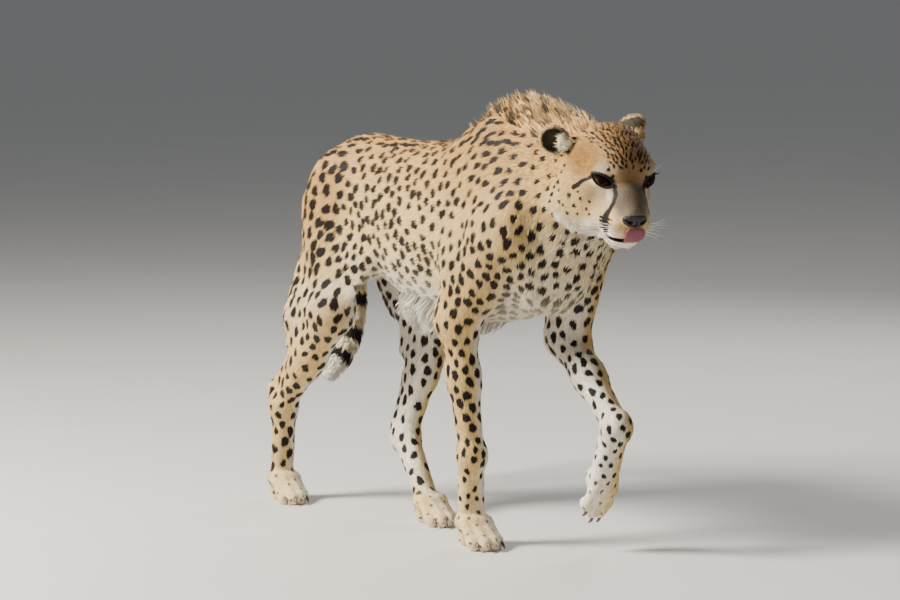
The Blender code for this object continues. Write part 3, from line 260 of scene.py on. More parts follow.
def part_sheets(D):
    """signs of the samples; where two sheets would touch along an edge they are joined"""
    S=D<0
    for _ in range(8):
        more=0
        for ax in range(3):
            q=[]
            for i in (0,1):
                for j in (0,1):
                    sl=[slice(None)]*3;sl[(ax+1)%3]=slice(i,-1 if i==0 else None);sl[(ax+2)%3]=slice(j,-1 if j==0 else None)
                    q.append(S[tuple(sl)])
            amb=np.stack(np.nonzero((q[0]==q[3])&(q[1]==q[2])&(q[0]!=q[1])),1)
            if not len(amb): continue
            more+=len(amb)
            e1=np.zeros(3,int);e1[(ax+1)%3]=1;e2=np.zeros(3,int);e2[(ax+2)%3]=1
            first=S[tuple(amb.T)]                     # the sheet holds corners 0 and 3, or 1 and 2
            p=np.where(first[:,None],amb+e1,amb);r=np.where(first[:,None],amb+e2,amb+e1+e2)
            pick=np.where((D[tuple(p.T)]<D[tuple(r.T)])[:,None],p,r)
            D[tuple(pick.T)]=-1e-6;S[tuple(pick.T)]=True
        if not more: break
    return S
def mesh(f,lo,hi,h,coarse=4,verbose=False):
    """surface nets over blocks that touch the surface"""
    lo=V(lo,float);n=np.ceil((V(hi)-lo)/h/coarse).astype(int)*coarse+1
    nb=(n-1)//coarse
    cx,cy,cz=[lo[j]+h*coarse*(np.arange(nb[j])+.5) for j in range(3)]
    C=np.stack(np.meshgrid(cx,cy,cz,indexing='ij'),-1).reshape(-1,3)
    dc=f(C);rad=h*coarse*.5*np.sqrt(3)*1.25
    act=np.abs(dc)<rad+.004
    D=np.repeat(np.repeat(np.repeat(dc.reshape(nb),coarse,0),coarse,1),coarse,2)
    D=np.pad(D,((0,1),)*3,mode='edge').astype(np.float32)
    bi=np.stack(np.unravel_index(np.nonzero(act)[0],nb),1)*coarse
    o=np.stack(np.meshgrid(*[np.arange(coarse+1)]*3,indexing='ij'),-1).reshape(-1,3)
    I=(bi[:,None]+o).reshape(-1,3);key=np.unique(np.ravel_multi_index(I.T,n))
    I=np.stack(np.unravel_index(key,n),1);P_=lo+I*h
    D.reshape(-1)[key]=f(P_)
    S=part_sheets(D)
    c=[S[i:n[0]-1+i,j:n[1]-1+j,k:n[2]-1+k] for i in (0,1) for j in (0,1) for k in (0,1)]
    cnt=sum(x.astype(np.int8) for x in c);cell=np.nonzero((cnt>0)&(cnt<8));ci=np.stack(cell,1)
    vid=-np.ones(n-1,np.int64);vid[cell]=np.arange(len(ci))
    corner=V([(i,j,k) for i in (0,1) for j in (0,1) for k in (0,1)])
    dv=D[tuple((ci[:,None]+corner).transpose(2,0,1))].astype(float)
    acc=np.zeros((len(ci),3));w=np.zeros(len(ci))
    for a in range(8):
        for b in range(a+1,8):
            if abs(corner[a]-corner[b]).sum()!=1: continue
            m=(dv[:,a]<0)!=(dv[:,b]<0);t=dv[m,a]/(dv[m,a]-dv[m,b])
            acc[m]+=corner[a]+(corner[b]-corner[a])*t[:,None];w[m]+=1
    v=lo+(ci+acc/w[:,None])*h
    F=[]
    for ax in range(3):
        u1,u2=(ax+1)%3,(ax+2)%3
        sl0=[slice(None)]*3;sl1=[slice(None)]*3;sl0[ax]=slice(0,-1);sl1[ax]=slice(1,None)
        a=S[tuple(sl0)];b=S[tuple(sl1)];e=np.stack(np.nonzero(a!=b),1)
        ok=(e[:,u1]>0)&(e[:,u2]>0)&(e[:,u1]<n[u1]-1)&(e[:,u2]<n[u2]-1);e=e[ok]
        def cellid(d1,d2):
            q=e.copy();q[:,u1]-=d1;q[:,u2]-=d2;return vid[tuple(q.T)]
        q=np.stack([cellid(0,0),cellid(1,0),cellid(1,1),cellid(0,1)],1)
        flip=~a[tuple(e.T)]
        q[flip]=q[flip][:,::-1]
        F.append(q)
    F=np.concatenate(F)
    return v,F,ci
def project(f,v,it=2,h=5e-4):
    for _ in range(it):
        d=f(v);g=np.stack([f(v+V(e)*h)-f(v-V(e)*h) for e in np.eye(3)],1)/(2*h)
        g2=(g*g).sum(1);v=v-np.clip(d/np.maximum(g2,.2),-.004,.004)[:,None]*g
    return v
# ---------- ears, eyes, mouth ----------
EARS={}
EAR_FORM={-1:(17,(21.5,22.5,12),(18.6,20.0,13.6),10.),1:(13,(26,15.5,11.5),(22.5,12.5,12.5),9.)}
def build_ears():
    for s,base,ax,n in ((-1,(-63.7,-91.6,12.5),(-.80,-.38,.46),(-.40,.80,.14)),(1,(45.5,-95.5,29.5),(-.10,-.66,.74),(.60,-.72,.3))):
        base=V(base,float);a=unit(ax);n=V(n,float);n=unit(n-a*np.dot(n,a));w=np.cross(n,a)
        M=np.stack([w,a,n]);mid,r,_,_=EAR_FORM[s]
        hell(base+a*mid,r,5,rot=M,tag='ear',flow=a@HM)
        hell(base-a*(3 if s<0 else 5),(17,14,13) if s<0 else (20,13,12),9,rot=M,tag='ear',flow=a@HM)
        EARS[s]=(base,a,n,w)
def carve_ears():
    for s,(base,a,n,w) in EARS.items():
        M=np.stack([w,a,n]);mid,_,r,off=EAR_FORM[s]
        hell(base+a*(mid+1.5)+n*off,r,2,rot=M,op='-',tag='earin')
build_ears()
MOUTH_TILT=8
def eye_prims():
    for s in (-1,1):
        c,g,a,u=eye_frame(s)
        hell(c,(GLOBE+LID,)*3,5,tag='lid',flow=Hd(0,-1,0))
    for s in (-1,1):
        c,g,a,u=eye_frame(s);M=np.stack([a,u,g])@HM;cw=H(*c);sc=HEAD_S/1000
        def f(p,M=M,cw=cw,s=s):
            q=(p-cw)@M.T/sc;x,y,z=q[:,0],q[:,1],q[:,2]
            def arc(b,A=LID_OPENING): R=(A*A+b*b)/(2*b);return R,R-b
            Ru,ou=arc(7.6);Rl,ol=arc(7.0)
            y=y-.0
            d=np.maximum(np.hypot(x,y+ou)-Ru,np.hypot(x,y-ol)-Rl)
            d=np.maximum(d,4-z)
            return d*sc
        add(f,cw+g@HM*.015,.045,.0012,op='-',tag='lidcut')
        hell(c,(GLOBE+.35,)*3,.4,op='-',tag='socket')
def mouth():
    hell((0,33,-73.2),(24.5,23,1.7),2,rot=rotm((1,0,0),MOUTH_TILT),op='-',tag='mouth')
eye_prims();carve_ears();mouth()
# ---------- coat that stands off the skin: nape crest, belly fringe, ruff ----------
def fringe():
    chain([(0,-.115,.655),(0,-.165,.676),(0,-.215,.682),(0,-.270,.672),(-.001,-.330,.654),(-.003,-.385,.640)],[.016,.026,.034,.036,.034,.026],.02,tag='mane',fur=1,flow=(0,.9,.3))
    ell((0,-.010,.368),(.060,.088,.054),.03,tag='belly',fur=1,flow=(0,.35,-.93))
    ell((0,-.105,.362),(.062,.075,.034),.03,tag='belly',fur=1,flow=(0,.35,-.93))
    for s in (-1,1):
        hlimb((s*20,22,-80),(s*40,-48,-60),(0,0,1),(10,7),(17,10),8,tag='ruff',fur=1)
fringe()


# =====================================================================
#  Skin: one closed mesh, fine on the head and the paws
# =====================================================================
SHIFT = V((-.0031, .0377, 0.0))
SC = HEAD_S / 1000
rng = np.random.default_rng(7)
H_COARSE = .0032


def say(*a):
    print('%6.1f s' % (time.time() - T0), *a)


def fast_mesh(name, v, tris, smooth=True):
    me = bpy.data.meshes.new(name)
    me.vertices.add(len(v))
    me.vertices.foreach_set('co', np.ascontiguousarray(v, np.float32).ravel())
    me.loops.add(len(tris) * 3)
    me.loops.foreach_set('vertex_index', np.ascontiguousarray(tris, np.int32).ravel())
    me.polygons.add(len(tris))
    me.polygons.foreach_set('loop_start', np.arange(0, 3 * len(tris), 3, dtype=np.int32))
    me.update(calc_edges=True)
    if smooth:
        me.shade_smooth()
    o = bpy.data.objects.new(name, me)
    bpy.context.scene.collection.objects.link(o)
    return o


def put_attr(o, name, arr):
    arr = np.asarray(arr, np.float32)
    if arr.ndim == 1:
        a = o.data.attributes.new(name, 'FLOAT', 'POINT')
        a.data.foreach_set('value', arr)
    elif arr.shape[1] == 3 and name != 'custom_normal':
        a = o.data.attributes.new(name, 'FLOAT_COLOR', 'POINT')
        a.data.foreach_set('color', np.concatenate([arr, np.ones((len(arr), 1), np.float32)], 1).ravel())
    else:
        a = o.data.attributes.new(name, 'FLOAT_VECTOR', 'POINT')
        a.data.foreach_set('vector', arr.ravel())


def prune(v, F, keep):
    F = F[keep[F].all(1)]
    used = np.zeros(len(v), bool)
    used[F.ravel()] = True
    new = np.cumsum(used) - 1
    return v[used], new[F]


def triangles(v, F):
    a, b, c, d = (v[F[:, k]] for k in range(4))
    sh = ((a - c) ** 2).sum(1) <= ((b - d) ** 2).sum(1)
    t1 = np.where(sh[:, None], F[:, [0, 1, 2]], F[:, [0, 1, 3]])
    t2 = np.where(sh[:, None], F[:, [0, 2, 3]], F[:, [1, 2, 3]])
    return np.concatenate([t1, t2])


def rims(T):
    """closed chains of open edges, each in the order its triangles run"""
    e = np.concatenate([T[:, [0, 1]], T[:, [1, 2]], T[:, [2, 0]]]).astype(np.int64)
    n = int(T.max()) + 1
    k = e[:, 0] * n + e[:, 1]
    r = e[:, 1] * n + e[:, 0]
    o = e[~np.isin(k, r)]
    nxt = {}
    for a, b in o:
        nxt.setdefault(int(a), []).append(int(b))
    out = []
    while nxt:
        a = next(iter(nxt))
        loop = [a]
        while True:
            b = nxt[loop[-1]].pop()
            if not nxt[loop[-1]]:
                del nxt[loop[-1]]
            if b == a:
                break
            if b not in nxt:
                break
            loop.append(b)
        out.append(loop)
    return out


def zip_rims(v, A, B):
    """triangles between two nearly parallel rims"""
    B = B[::-1]
    n, m = len(A), len(B)
    j0 = int(np.argmin(((v[B] - v[A[0]]) ** 2).sum(1)))
    B = B[j0:] + B[:j0]
    A = A + [A[0]]
    B = B + [B[0]]
    i = j = 0
    out = []
    while i < n or j < m:
        if j >= m or (i < n and ((v[A[i + 1]] - v[B[j]]) ** 2).sum() <= ((v[A[i]] - v[B[min(j + 1, m)]]) ** 2).sum()):
            out.append((A[i + 1], A[i], B[j]))
            i += 1
        else:
            out.append((A[i], B[j], B[j + 1]))
            j += 1
    return out


def skin_mesh(f, lo, hi, h, boxes):
    v, F, ci = mesh(f, lo, hi, h)
    keep = np.ones(len(v), bool)
    fine = []
    for a, b in boxes:
        i0 = np.round((V(a) - lo) / h).astype(int)
        i1 = np.round((V(b) - lo) / h).astype(int)
        keep &= ~((ci >= i0) & (ci < i1)).all(1)
        lf = lo + (i0 - 2) * h
        vf, Ff, cf = mesh(f, lf, lf + (i1 - i0 + 4) * h, h / 2)
        fine.append(prune(vf, Ff, ((cf >= 4) & (cf < 4 + 2 * (i1 - i0))).all(1)))
    v, F = prune(v, F, keep)
    T = triangles(v, F)
    nb = len(v)
    base = [r for r in rims(T) if len(r) > 8]
    allv, allT, off = [v], [T], nb
    pend = []
    for vf, Ff in fine:
        Tf = triangles(vf, Ff)
        rf = [r for r in rims(Tf) if len(r) > 8]
        allv.append(vf)
        allT.append(Tf + off)
        pend += [[i + off for i in r] for r in rf]
        off += len(vf)
    v = np.concatenate(allv)
    extra = []
    cen = V([v[r].mean(0) for r in base])
    for r in pend:
        k = int(np.argmin(((cen - v[r].mean(0)) ** 2).sum(1)))
        extra += zip_rims(v, base[k], r)
    T = np.concatenate(allT + [V(extra, int).reshape(-1, 3)])
    left = rims(T)
    say('skin', len(v), 'vertices', len(T), 'triangles; open rims', [len(x) for x in left][:8], 'joined', len(pend), 'of', len(base))
    return v, T


def normals_of(v, T):
    a, b, c = v[T[:, 0]], v[T[:, 1]], v[T[:, 2]]
    fn = np.cross(b - a, c - a)
    n = np.zeros_like(v)
    for k in range(3):
        for j in range(3):
            n[:, j] += np.bincount(T[:, k], fn[:, j], len(v))
    return n / (np.linalg.norm(n, axis=1)[:, None] + 1e-12)


def smoothed(T, n, x, it=1, amount=.5):
    """average of neighbours"""
    e = np.concatenate([T[:, [0, 1]], T[:, [1, 2]], T[:, [2, 0]]])
    cnt = np.bincount(e[:, 0], minlength=n) + np.bincount(e[:, 1], minlength=n)
    x = V(x, float)
    for _ in range(it):
        y = np.zeros_like(x)
        cols = x.reshape(n, -1)
        z = np.stack([np.bincount(e[:, 0], cols[e[:, 1], j], n) + np.bincount(e[:, 1], cols[e[:, 0], j], n) for j in range(cols.shape[1])], 1)
        y = (z / np.maximum(cnt, 1)[:, None]).reshape(x.shape)
        x = x * (1 - amount) + y * amount
    return x


PR[:] = [q for q in PR if q['tag'] != 'socket']        # the lids are solid down to the globe
BONES = [q for q in PR if not q['fur']]
FL = lambda p: body_sdf(p, fur=False)
BOXES = [((-.15, -.58, .47), (.15, -.345, .76))]
for k, a in (('mR', 'cR'), ('nR', 'oR'), ('nL', 'oL')):
    m = J[k]
    BOXES.append(((m[0] - .055, m[1] - .095, -.02), (m[0] + .055, m[1] + .045, m[2] + .020)))
m = J['mL']
BOXES.append(((m[0] - .055, m[1] - .075, m[2] - .115), (m[0] + .055, m[1] + .045, m[2] + .012)))
LO = V((-.18, -.60, -.03))
LO = np.floor(LO / H_COARSE) * H_COARSE
sv, sT = skin_mesh(FL, LO, V((.18, .48, .76)), H_COARSE, BOXES)
sv = project(FL, sv, 2)
say('projected')
sn = normals_of(sv, sT)

# =====================================================================
#  What each place on the skin belongs to
# =====================================================================
TAGS = ['trunk', 'rump', 'shoulder', 'arm', 'forearm', 'wrist', 'pastern', 'paw', 'pad', 'thigh', 'knee', 'shank', 'hock', 'tail', 'neck', 'chest', 'head', 'ear', 'lid']
#            coat depth mm, hair length mm, spot spacing mm, spot radius mm, spot stretch
COAT = dict(trunk=(4.2, 7.6, 18.0, 7.4, 1.0), rump=(4.0, 9.5, 18.4, 8.1, 1.3), shoulder=(3.8, 9, 18.4, 6.9, 1.25), arm=(2.9, 8, 18.6, 7.4, 1.3),
            forearm=(2.0, 7, 17.4, 6.7, 1.4), wrist=(1.6, 6, 15.0, 4.8, 1.35), pastern=(1.4, 5.5, 14, 4.2, 1.4), paw=(1.0, 4.5, 17, 2.5, 1.3), pad=(0., 2, 15, 2, 1),
            thigh=(3.6, 9, 20.0, 9.0, 1.25), knee=(2.7, 8, 19.5, 8.2, 1.25), shank=(2.2, 7, 18.5, 7.2, 1.35), hock=(1.6, 6, 16, 5.2, 1.5),
            tail=(4.2, 12, 23, 9.0, 1.1), neck=(4.0, 9.5, 17, 5.6, 1.35), chest=(4.0, 10, 19, 7.0, 1.3), head=(1.8, 4.4, 10, 2.2, 1.3), ear=(.8, 4.0, 12, 1.5, 1), lid=(.5, 2.4, 12, 1.2, 1))
TAIL_C, TAIL_R = chain(TAIL, TAILR, .02, tag='tailcopy')
PR.pop()


def tail_place(p):
    """station along the tail (0 root .. 8 tip) and the direction there"""
    best = np.full(len(p), 9.)
    st = np.zeros(len(p))
    d = np.tile(V((0., 1, 0)), (len(p), 1))
    n = len(TAIL_C) - 1
    for i in range(n):
        s = TAIL_C[i + 1] - TAIL_C[i]
        q = p - TAIL_C[i]
        h = np.clip(q @ s / (s @ s), 0, 1)
        r = np.sqrt(((q - h[:, None] * s) ** 2).sum(1))
        m = r < best
        best[m] = r[m]
        st[m] = (i + h[m]) / n * 8
        d[m] = unit(s)
    return st, d


def survey(p):
    W = np.zeros((len(p), len(TAGS)))
    fl = np.zeros((len(p), 3))
    for q in BONES:
        if q['op'] != '+' or q['tag'] not in TAGS:
            continue
        small = q['tag'] in ('head', 'lid', 'ear', 'paw', 'pad')
        sg = .0035 if small else .009
        dd = p - q['c']
        R = q['R'] + 6 * sg
        m = np.nonzero((dd * dd).sum(1) < R * R)[0]
        if not len(m):
            continue
        w = np.exp(-np.maximum(q['f'](p[m]), -sg) / sg)
        if q['tag'] == 'trunk':
            w *= .8
        W[m, TAGS.index(q['tag'])] += w
        if q['tag'] == 'tail':
            fl[m] += tail_place(p[m])[1] * w[:, None]
        else:
            fl[m] += w[:, None] * q['flow'] / (np.linalg.norm(q['flow']) + 1e-9)
    W += 1e-9
    W /= W.sum(1)[:, None]
    return W, fl


sW, sF = survey(sv)
nS = len(sv)
sF = smoothed(sT, nS, sF / (np.linalg.norm(sF, axis=1)[:, None] + 1e-9), 6)
sWs = smoothed(sT, nS, sW, 4)
COATM = V([COAT[t] for t in TAGS], float)
depth, hlen, sp_sep, sp_rad, sp_asp = (sWs @ COATM).T
w_of = lambda t: sWs[:, TAGS.index(t)]
say('surveyed')

loc = lambda p: ((p - HEAD_POS) @ HM.T) / SC
hq = loc(sv)                        # head-local, mm


def ramp(x, a, b):
    t = np.clip((x - a) / (b - a), 0, 1)
    return t * t * (3 - 2 * t)


# the side of the head counts as head up to the jaw's edge and the back of the cheek
_ax, _ed = np.abs(hq[:, 0]), np.interp(-hq[:, 1], [-60, 2, 22, 36, 55, 82], [-104, -90, -91, -84, -76, -70])
HG = ramp(hq[:, 1], -82, -64) * ramp(hq[:, 2] - _ed, -9, 0) * ramp(-np.linalg.norm(hq - V((0, -20, -20)), axis=1), -135, -118)
HG = smoothed(sT, nS, HG, 2)
_hs = [TAGS.index(t) for t in ('head', 'lid', 'ear')]
_rest = 1 - sWs[:, _hs].sum(1)
_scale = np.where(np.isin(np.arange(len(TAGS)), _hs), 1., 0.)[None, :] + (1 - HG)[:, None] * np.where(np.isin(np.arange(len(TAGS)), _hs), 0., 1.)[None, :]
sWs = sWs * _scale
sWs[:, TAGS.index('head')] += _rest * HG
depth, hlen, sp_sep, sp_rad, sp_asp = (sWs @ COATM).T


def seg_d(q, a, b):
    a, b = V(a, float), V(b, float)
    s = b - a
    h = np.clip((q - a) @ s / (s @ s), 0, 1)
    return np.sqrt(((q - a - h[:, None] * s) ** 2).sum(1)), h


def stroke(q, pts, rad):
    """field of a tapered stroke: mm inside its edge"""
    out = np.full(len(q), -20.)
    for i in range(len(pts) - 1):
        d, h = seg_d(q, pts[i], pts[i + 1])
        out = np.maximum(out, rad[i] * (1 - h) + rad[i + 1] * h - d)
    return out


def eye_place(q, s):
    """mm outside the edge of the lids' opening, height over it, depth from the globe's centre"""
    c, g, a, u = eye_frame(s)
    M = np.stack([a, u, g])
    x, y, z = ((q - c) @ M.T).T
    A = LID_OPENING

    def arc(b):
        R = (A * A + b * b) / (2 * b)
        return R, R - b
    Ru, ou = arc(7.6)
    Rl, ol = arc(7.0)
    d = np.maximum(np.hypot(x, y + ou) - Ru, np.hypot(x, y - ol) - Rl)
    return d, x, y, z


mouth_f = [q for q in PR if q['tag'] == 'mouth'][0]['f']
ear_in = [q for q in PR if q['tag'] == 'earin']
is_head = w_of('head') + w_of('ear') + w_of('lid')

# ---- bare places: lid rims, nose, lips ----
eyeD = [eye_place(hq, s) for s in (-1, 1)]
rim = np.full(nS, 20.)
for d, x, y, z in eyeD:
    rim = np.minimum(rim, np.where((z > 2) & (np.abs(x) < 30), np.abs(d), 20.))
dm = mouth_f(sv) * 1000
face_front = hq[:, 1] > 5
lip = np.where(face_front & (np.abs(hq[:, 0]) < 34), np.abs(dm), 20.)
nose_d = (np.sqrt((((hq - V((0, 52.5, -35.5))) / V((19.5, 13.5, 9.5))) ** 2).sum(1)) - 1) * 11
bare = np.clip(np.minimum(np.minimum(rim / 4.5, np.maximum(nose_d, 0) / 4), lip / 5), 0, 1)
on_head = np.clip(is_head * 1.6, 0, 1)
depth = depth * (1 - on_head * (1 - bare))
# inside the ears the hair is thin
inear = np.zeros(nS)
for q in ear_in:
    inear = np.maximum(inear, np.clip(1.2 - np.abs(q['f'](sv)) * 1000 / 1.5, 0, 1) * (np.linalg.norm(sv - q['c'], axis=1) < .032))
inear = np.clip(smoothed(sT, nS, inear, 2), 0, 1)
depth = depth * (1 - .8 * inear)
# face coat thins towards the nose
fwd = np.clip((hq[:, 1] - 5) / 40, 0, 1) * on_head
depth = depth * (1 - .45 * fwd)
tst, _ = tail_place(sv)
depth = depth + w_of('tail') * np.clip((tst - 6) / 2, 0, 1) * 1.0
depth = np.minimum(depth, 6.) / 1000
depth = smoothed(sT, nS, depth, 3)
depth = np.maximum(depth, ramp(-nose_d, .5, 3.5) * (hq[:, 1] > 44) * .0045)
depth = smoothed(sT, nS, depth, 1)
skin = sv - sn * depth[:, None]
skin[:, 2] = np.maximum(skin[:, 2], 0.)
kn = normals_of(skin, sT)

def along(T, v, flow):
    """for each vertex its neighbour farthest along the lie of the hair"""
    e = np.concatenate([T[:, [0, 1]], T[:, [1, 2]], T[:, [2, 0]], T[:, [1, 0]], T[:, [2, 1]], T[:, [0, 2]]])
    d = v[e[:, 1]] - v[e[:, 0]]
    sc_ = (d * flow[e[:, 0]]).sum(1) / (np.linalg.norm(d, axis=1) + 1e-12)
    od = np.lexsort((sc_, e[:, 0]))
    e = e[od]
    last = np.append(np.nonzero(np.diff(e[:, 0]))[0], len(e) - 1)
    nb = np.arange(len(v))
    nb[e[last, 0]] = e[last, 1]
    return nb


def streaks(order):
    """locks of hair: a random value drawn out along the lie over 2^order places"""
    x = rng.normal(size=nS)
    nb = along(sT, skin, sF)
    for _ in range(order):
        x = x + x[nb]
        nb = nb[nb]
    x = x - x.mean()
    return np.clip(x / x.std(), -2.2, 2.2)


STREAK = streaks(2) * .75 + streaks(3) * .55
STREAK = np.clip(STREAK, -2, 2)
say('streaks')

# =====================================================================
#  Ground colours (linear) by place
# =====================================================================
def srgb(r, g, b):
    c = V((r, g, b), float) / 255
    return np.where(c <= .04045, c / 12.92, ((c + .055) / 1.055) ** 2.4)


GOLD, TAN, BUFF, CREAM, WHITE = srgb(178, 132, 66), srgb(204, 164, 98), srgb(230, 203, 142), srgb(242, 227, 186), srgb(245, 241, 228)
DARK, GREY = srgb(26, 18, 15), srgb(150, 128, 104)


def mixc(a, b, t):
    return a * (1 - t[:, None]) + b * t[:, None]


def ground_colour(p, n, W, q, st):
    wt = lambda *t: sum(W[:, TAGS.index(k)] for k in t)
    z, y, x = p[:, 2], p[:, 1], p[:, 0]
    # trunk: gold along the back, buff on the flank, white below
    c = mixc(BUFF, TAN, ramp(z, .50, .60) * .75)
    c = mixc(c, GOLD, ramp(z, .585, .66) * .6)
    low = ramp(n[:, 2] * -1, .15, .75) * ramp(-z, -.47, -.39)
    c = mixc(c, CREAM, ramp(-z, -.50, -.41) * .8)
    c = mixc(c, WHITE, np.clip(low + ramp(-z, -.415, -.375), 0, 1))
    # legs: tan outside and in front, white on the inside
    legs = np.clip(wt('arm', 'forearm', 'wrist', 'pastern', 'paw', 'knee', 'shank', 'hock'), 0, 1)
    side = np.where(x < 0, -1., 1.)
    out = n[:, 0] * side
    lc = mixc(WHITE, BUFF, ramp(out, -.45, .25))
    lc = mixc(lc, TAN, ramp(out, .1, .8) * .3)
    lc = mixc(lc, CREAM, ramp(-z, -.16, -.05) * .35)
    c = mixc(c, lc, legs)
    th = wt('thigh')
    tc = mixc(BUFF, TAN, ramp(z, .36, .52))
    tc = mixc(WHITE, tc, ramp(out, -.6, .05))
    tc = mixc(tc, CREAM, ramp(y, .30, .36) * .5)
    c = mixc(c, tc, th * .9)
    # chest and throat
    ch = np.clip(wt('chest', 'neck') * 1.3, 0, 1) * ramp(-n[:, 1] - n[:, 2] * .8, .35, 1.0)
    c = mixc(c, CREAM, ch * .8)
    c = mixc(c, WHITE, ch * ramp(-z, -.60, -.50) * .35)
    # neck and crest
    c = mixc(c, TAN, wt('neck') * ramp(z, .58, .64) * .6)
    # tail
    ta = np.clip(wt('tail') * 1.2, 0, 1)
    tl = mixc(TAN, BUFF, ramp(st, 1, 4))
    tl = mixc(tl, WHITE, np.clip(ramp(-n[:, 2], -.1, .6) * .9 + ramp(st, 4.2, 6.2) * .6 + ramp(st, 7.3, 7.6), 0, 1))
    c = mixc(c, tl, ta)
    # head
    hd = np.clip(wt('head', 'lid', 'ear') * 1.5, 0, 1)
    ax = np.abs(q[:, 0])
    qq = np.stack([ax, q[:, 1], q[:, 2]], 1)
    hc = np.tile(BUFF, (len(p), 1))
    acc = np.full(len(p), .12)
    tot = hc * acc[:, None]
    for ctr, r, col, s in HEAD_TINTS:
        w = s * np.exp(-(((qq - V(ctr)) / V(r)) ** 2).sum(1))
        acc += w
        tot += w[:, None] * V(col)
    hc = tot / acc[:, None]
    c = mixc(c, hc, hd)
    # painted shade in the fold under the right ear's base: a dark band on the head
    fold = stroke(q, [(-76, -98, 9), (-69, -88, 9.5), (-63, -74, 13)], [4.2, 4.8, 3.4])
    c = mixc(c, srgb(40, 32, 30), ramp(fold, -1.2, 1.2) * .9)
    # ears: dark backs, pale rims; dark inside, partly dark skin and partly painted shade of the hollow
    for s, (base, a, nn, w) in EARS.items():
        d = q - V(base)
        up, fr, sd = d @ a, d @ nn, d @ w
        near = ((np.sqrt((d * d).sum(1)) < 62) & (np.sign(q[:, 0]) == s) & (up > 1)) * np.clip(wt('ear') * 2.4, 0, 1)
        mid, rr = EAR_FORM[s][0], EAR_FORM[s][1]
        edge = np.sqrt((sd / rr[0]) ** 2 + ((up - mid) / rr[1]) ** 2)
        c = mixc(c, mixc(np.tile(TAN, (len(p), 1)), BUFF, ramp(edge, .7, .9)), near)
        back = near * ramp(-fr, -5., -1.) * ramp(up, 1, 6) * ramp(-(up - mid - rr[1] * .66), -2.5, .5)
        inside = near * ramp(fr, -4., 1.) * ramp(-edge, -1.0, -.88)
        notch = near * ramp(fr, -2, 4) * ramp(-np.abs(sd + 5), -12, -6) * ramp(-np.abs(up - 0), -7, -3)
        c = mixc(c, srgb(36, 30, 30), back * .95)
        # the hollow and the notch at its base: dark skin deepened with painted shade
        c = mixc(c, srgb(38, 30, 32), np.maximum(inside, notch) * .95)
    return c


HEAD_TINTS = [
    # centre (mirrored), reach, colour, strength
    ((0, -45, 52), (34, 42, 18), srgb(160, 116, 60), 1.5),        # crown
    ((0, -12, 42), (24, 18, 16), srgb(152, 116, 74), 1.3),        # forehead
    ((53, -42, 20), (17, 24, 18), srgb(146, 106, 46), 3.0),       # gold over the temple
    ((61, -52, 8), (14, 18, 13), srgb(164, 118, 56), 2.2),       # gold between eye and ear
    ((76, -68, -14), (20, 22, 18), srgb(212, 180, 120), 1.6),     # pale behind the gold
    ((0, 30, -6), (22, 20, 17), srgb(100, 87, 78), 2.6),         # bridge of the nose
    ((0, 46, -22), (23, 15, 13), srgb(100, 90, 82), 2.6),
    ((16, 31, -14), (10, 16, 15), srgb(92, 79, 70), 2.4),
    ((4, 12, 14), (10, 10, 9), srgb(140, 98, 62), 1.1),          # rust between the eyes
    ((38, -4, 20), (14, 10, 5), srgb(188, 172, 150), 1.3),        # pale over the eye
    ((20, 8, 12), (9, 10, 10), srgb(160, 130, 94), .9),
    ((45, -6, -4), (11, 10, 2.8), srgb(240, 235, 222), 1.2),        # white under the eye
    ((31.0, 14, -13), (2.4, 7, 9), srgb(240, 234, 220), 1.3),
    ((42, 2, -19), (8, 12, 12), srgb(176, 154, 122), 1.8),       # beside the tear line: greyish beige fur, darkened in part as painted shade
    ((46, -6, -24), (13, 17, 13), srgb(158, 136, 106), 2.0),     # cheek: greyish beige fur, darkened in part as painted shade
    ((66, -34, -26), (20, 22, 18), srgb(204, 172, 112), 1.6),
    ((60, -24, -52), (22, 24, 16), srgb(202, 176, 126), 1.5),
    ((34, 20, -34), (12, 14, 9), srgb(214, 186, 132), 1.1),       # whisker pad
    ((24, 40, -46), (10, 12, 10), srgb(214, 186, 132), 1.3),
    ((24, 38, -64), (14, 14, 7), srgb(236, 226, 204), 1.3),
    ((27, 34, -48), (9, 9, 12), srgb(220, 190, 130), 1.6),
    ((40, 2, -72), (18, 18, 9), srgb(240, 234, 218), 1.4),       # jaw edge
    ((0, 32, -82), (26, 22, 12), srgb(244, 241, 232), 2.2),       # chin
    ((0, -20, -90), (40, 40, 16), srgb(240, 232, 214), 1.8),      # throat
    ((76, -54, -62), (22, 24, 13), srgb(222, 200, 152), 1.4),     # ruff
]
sCol = ground_colour(skin, kn, sWs, hq, tst)
sCol = smoothed(sT, nS, sCol, 2)
# painted shade: the neck below the jaw's edge is darkened as the shadow the jaw would cast on it
EDGE = [(86, -82, -70), (78, -55, -76), (66, -36, -84), (50, -22, -92), (36, -2, -90)]
jaw_shadow_paint = np.clip(stroke(np.stack([np.abs(hq[:, 0]), hq[:, 1] + 10, hq[:, 2] + 9], 1), EDGE, [15, 15, 15, 14, 12]) / 12, 0, 1) * (1 - ramp(w_of('head'), .5, .9))
jaw_shadow_paint = smoothed(sT, nS, jaw_shadow_paint, 3)
sCol = mixc(sCol, sCol * V((.50, .47, .46)), jaw_shadow_paint * .88)
amp = .12 - .05 * np.clip(is_head, 0, 1) - .02 * np.clip(w_of('neck'), 0, 1)
sCol = np.clip(sCol * (1 + (amp * STREAK)[:, None] * V((1., 1.08, 1.18))), 0, 1)

# =====================================================================
#  Spots
# =====================================================================
def cells_of(p, s):
    k = np.floor(p / s).astype(np.int64) + 2000
    return (k[:, 0] << 26) + (k[:, 1] << 13) + k[:, 2]


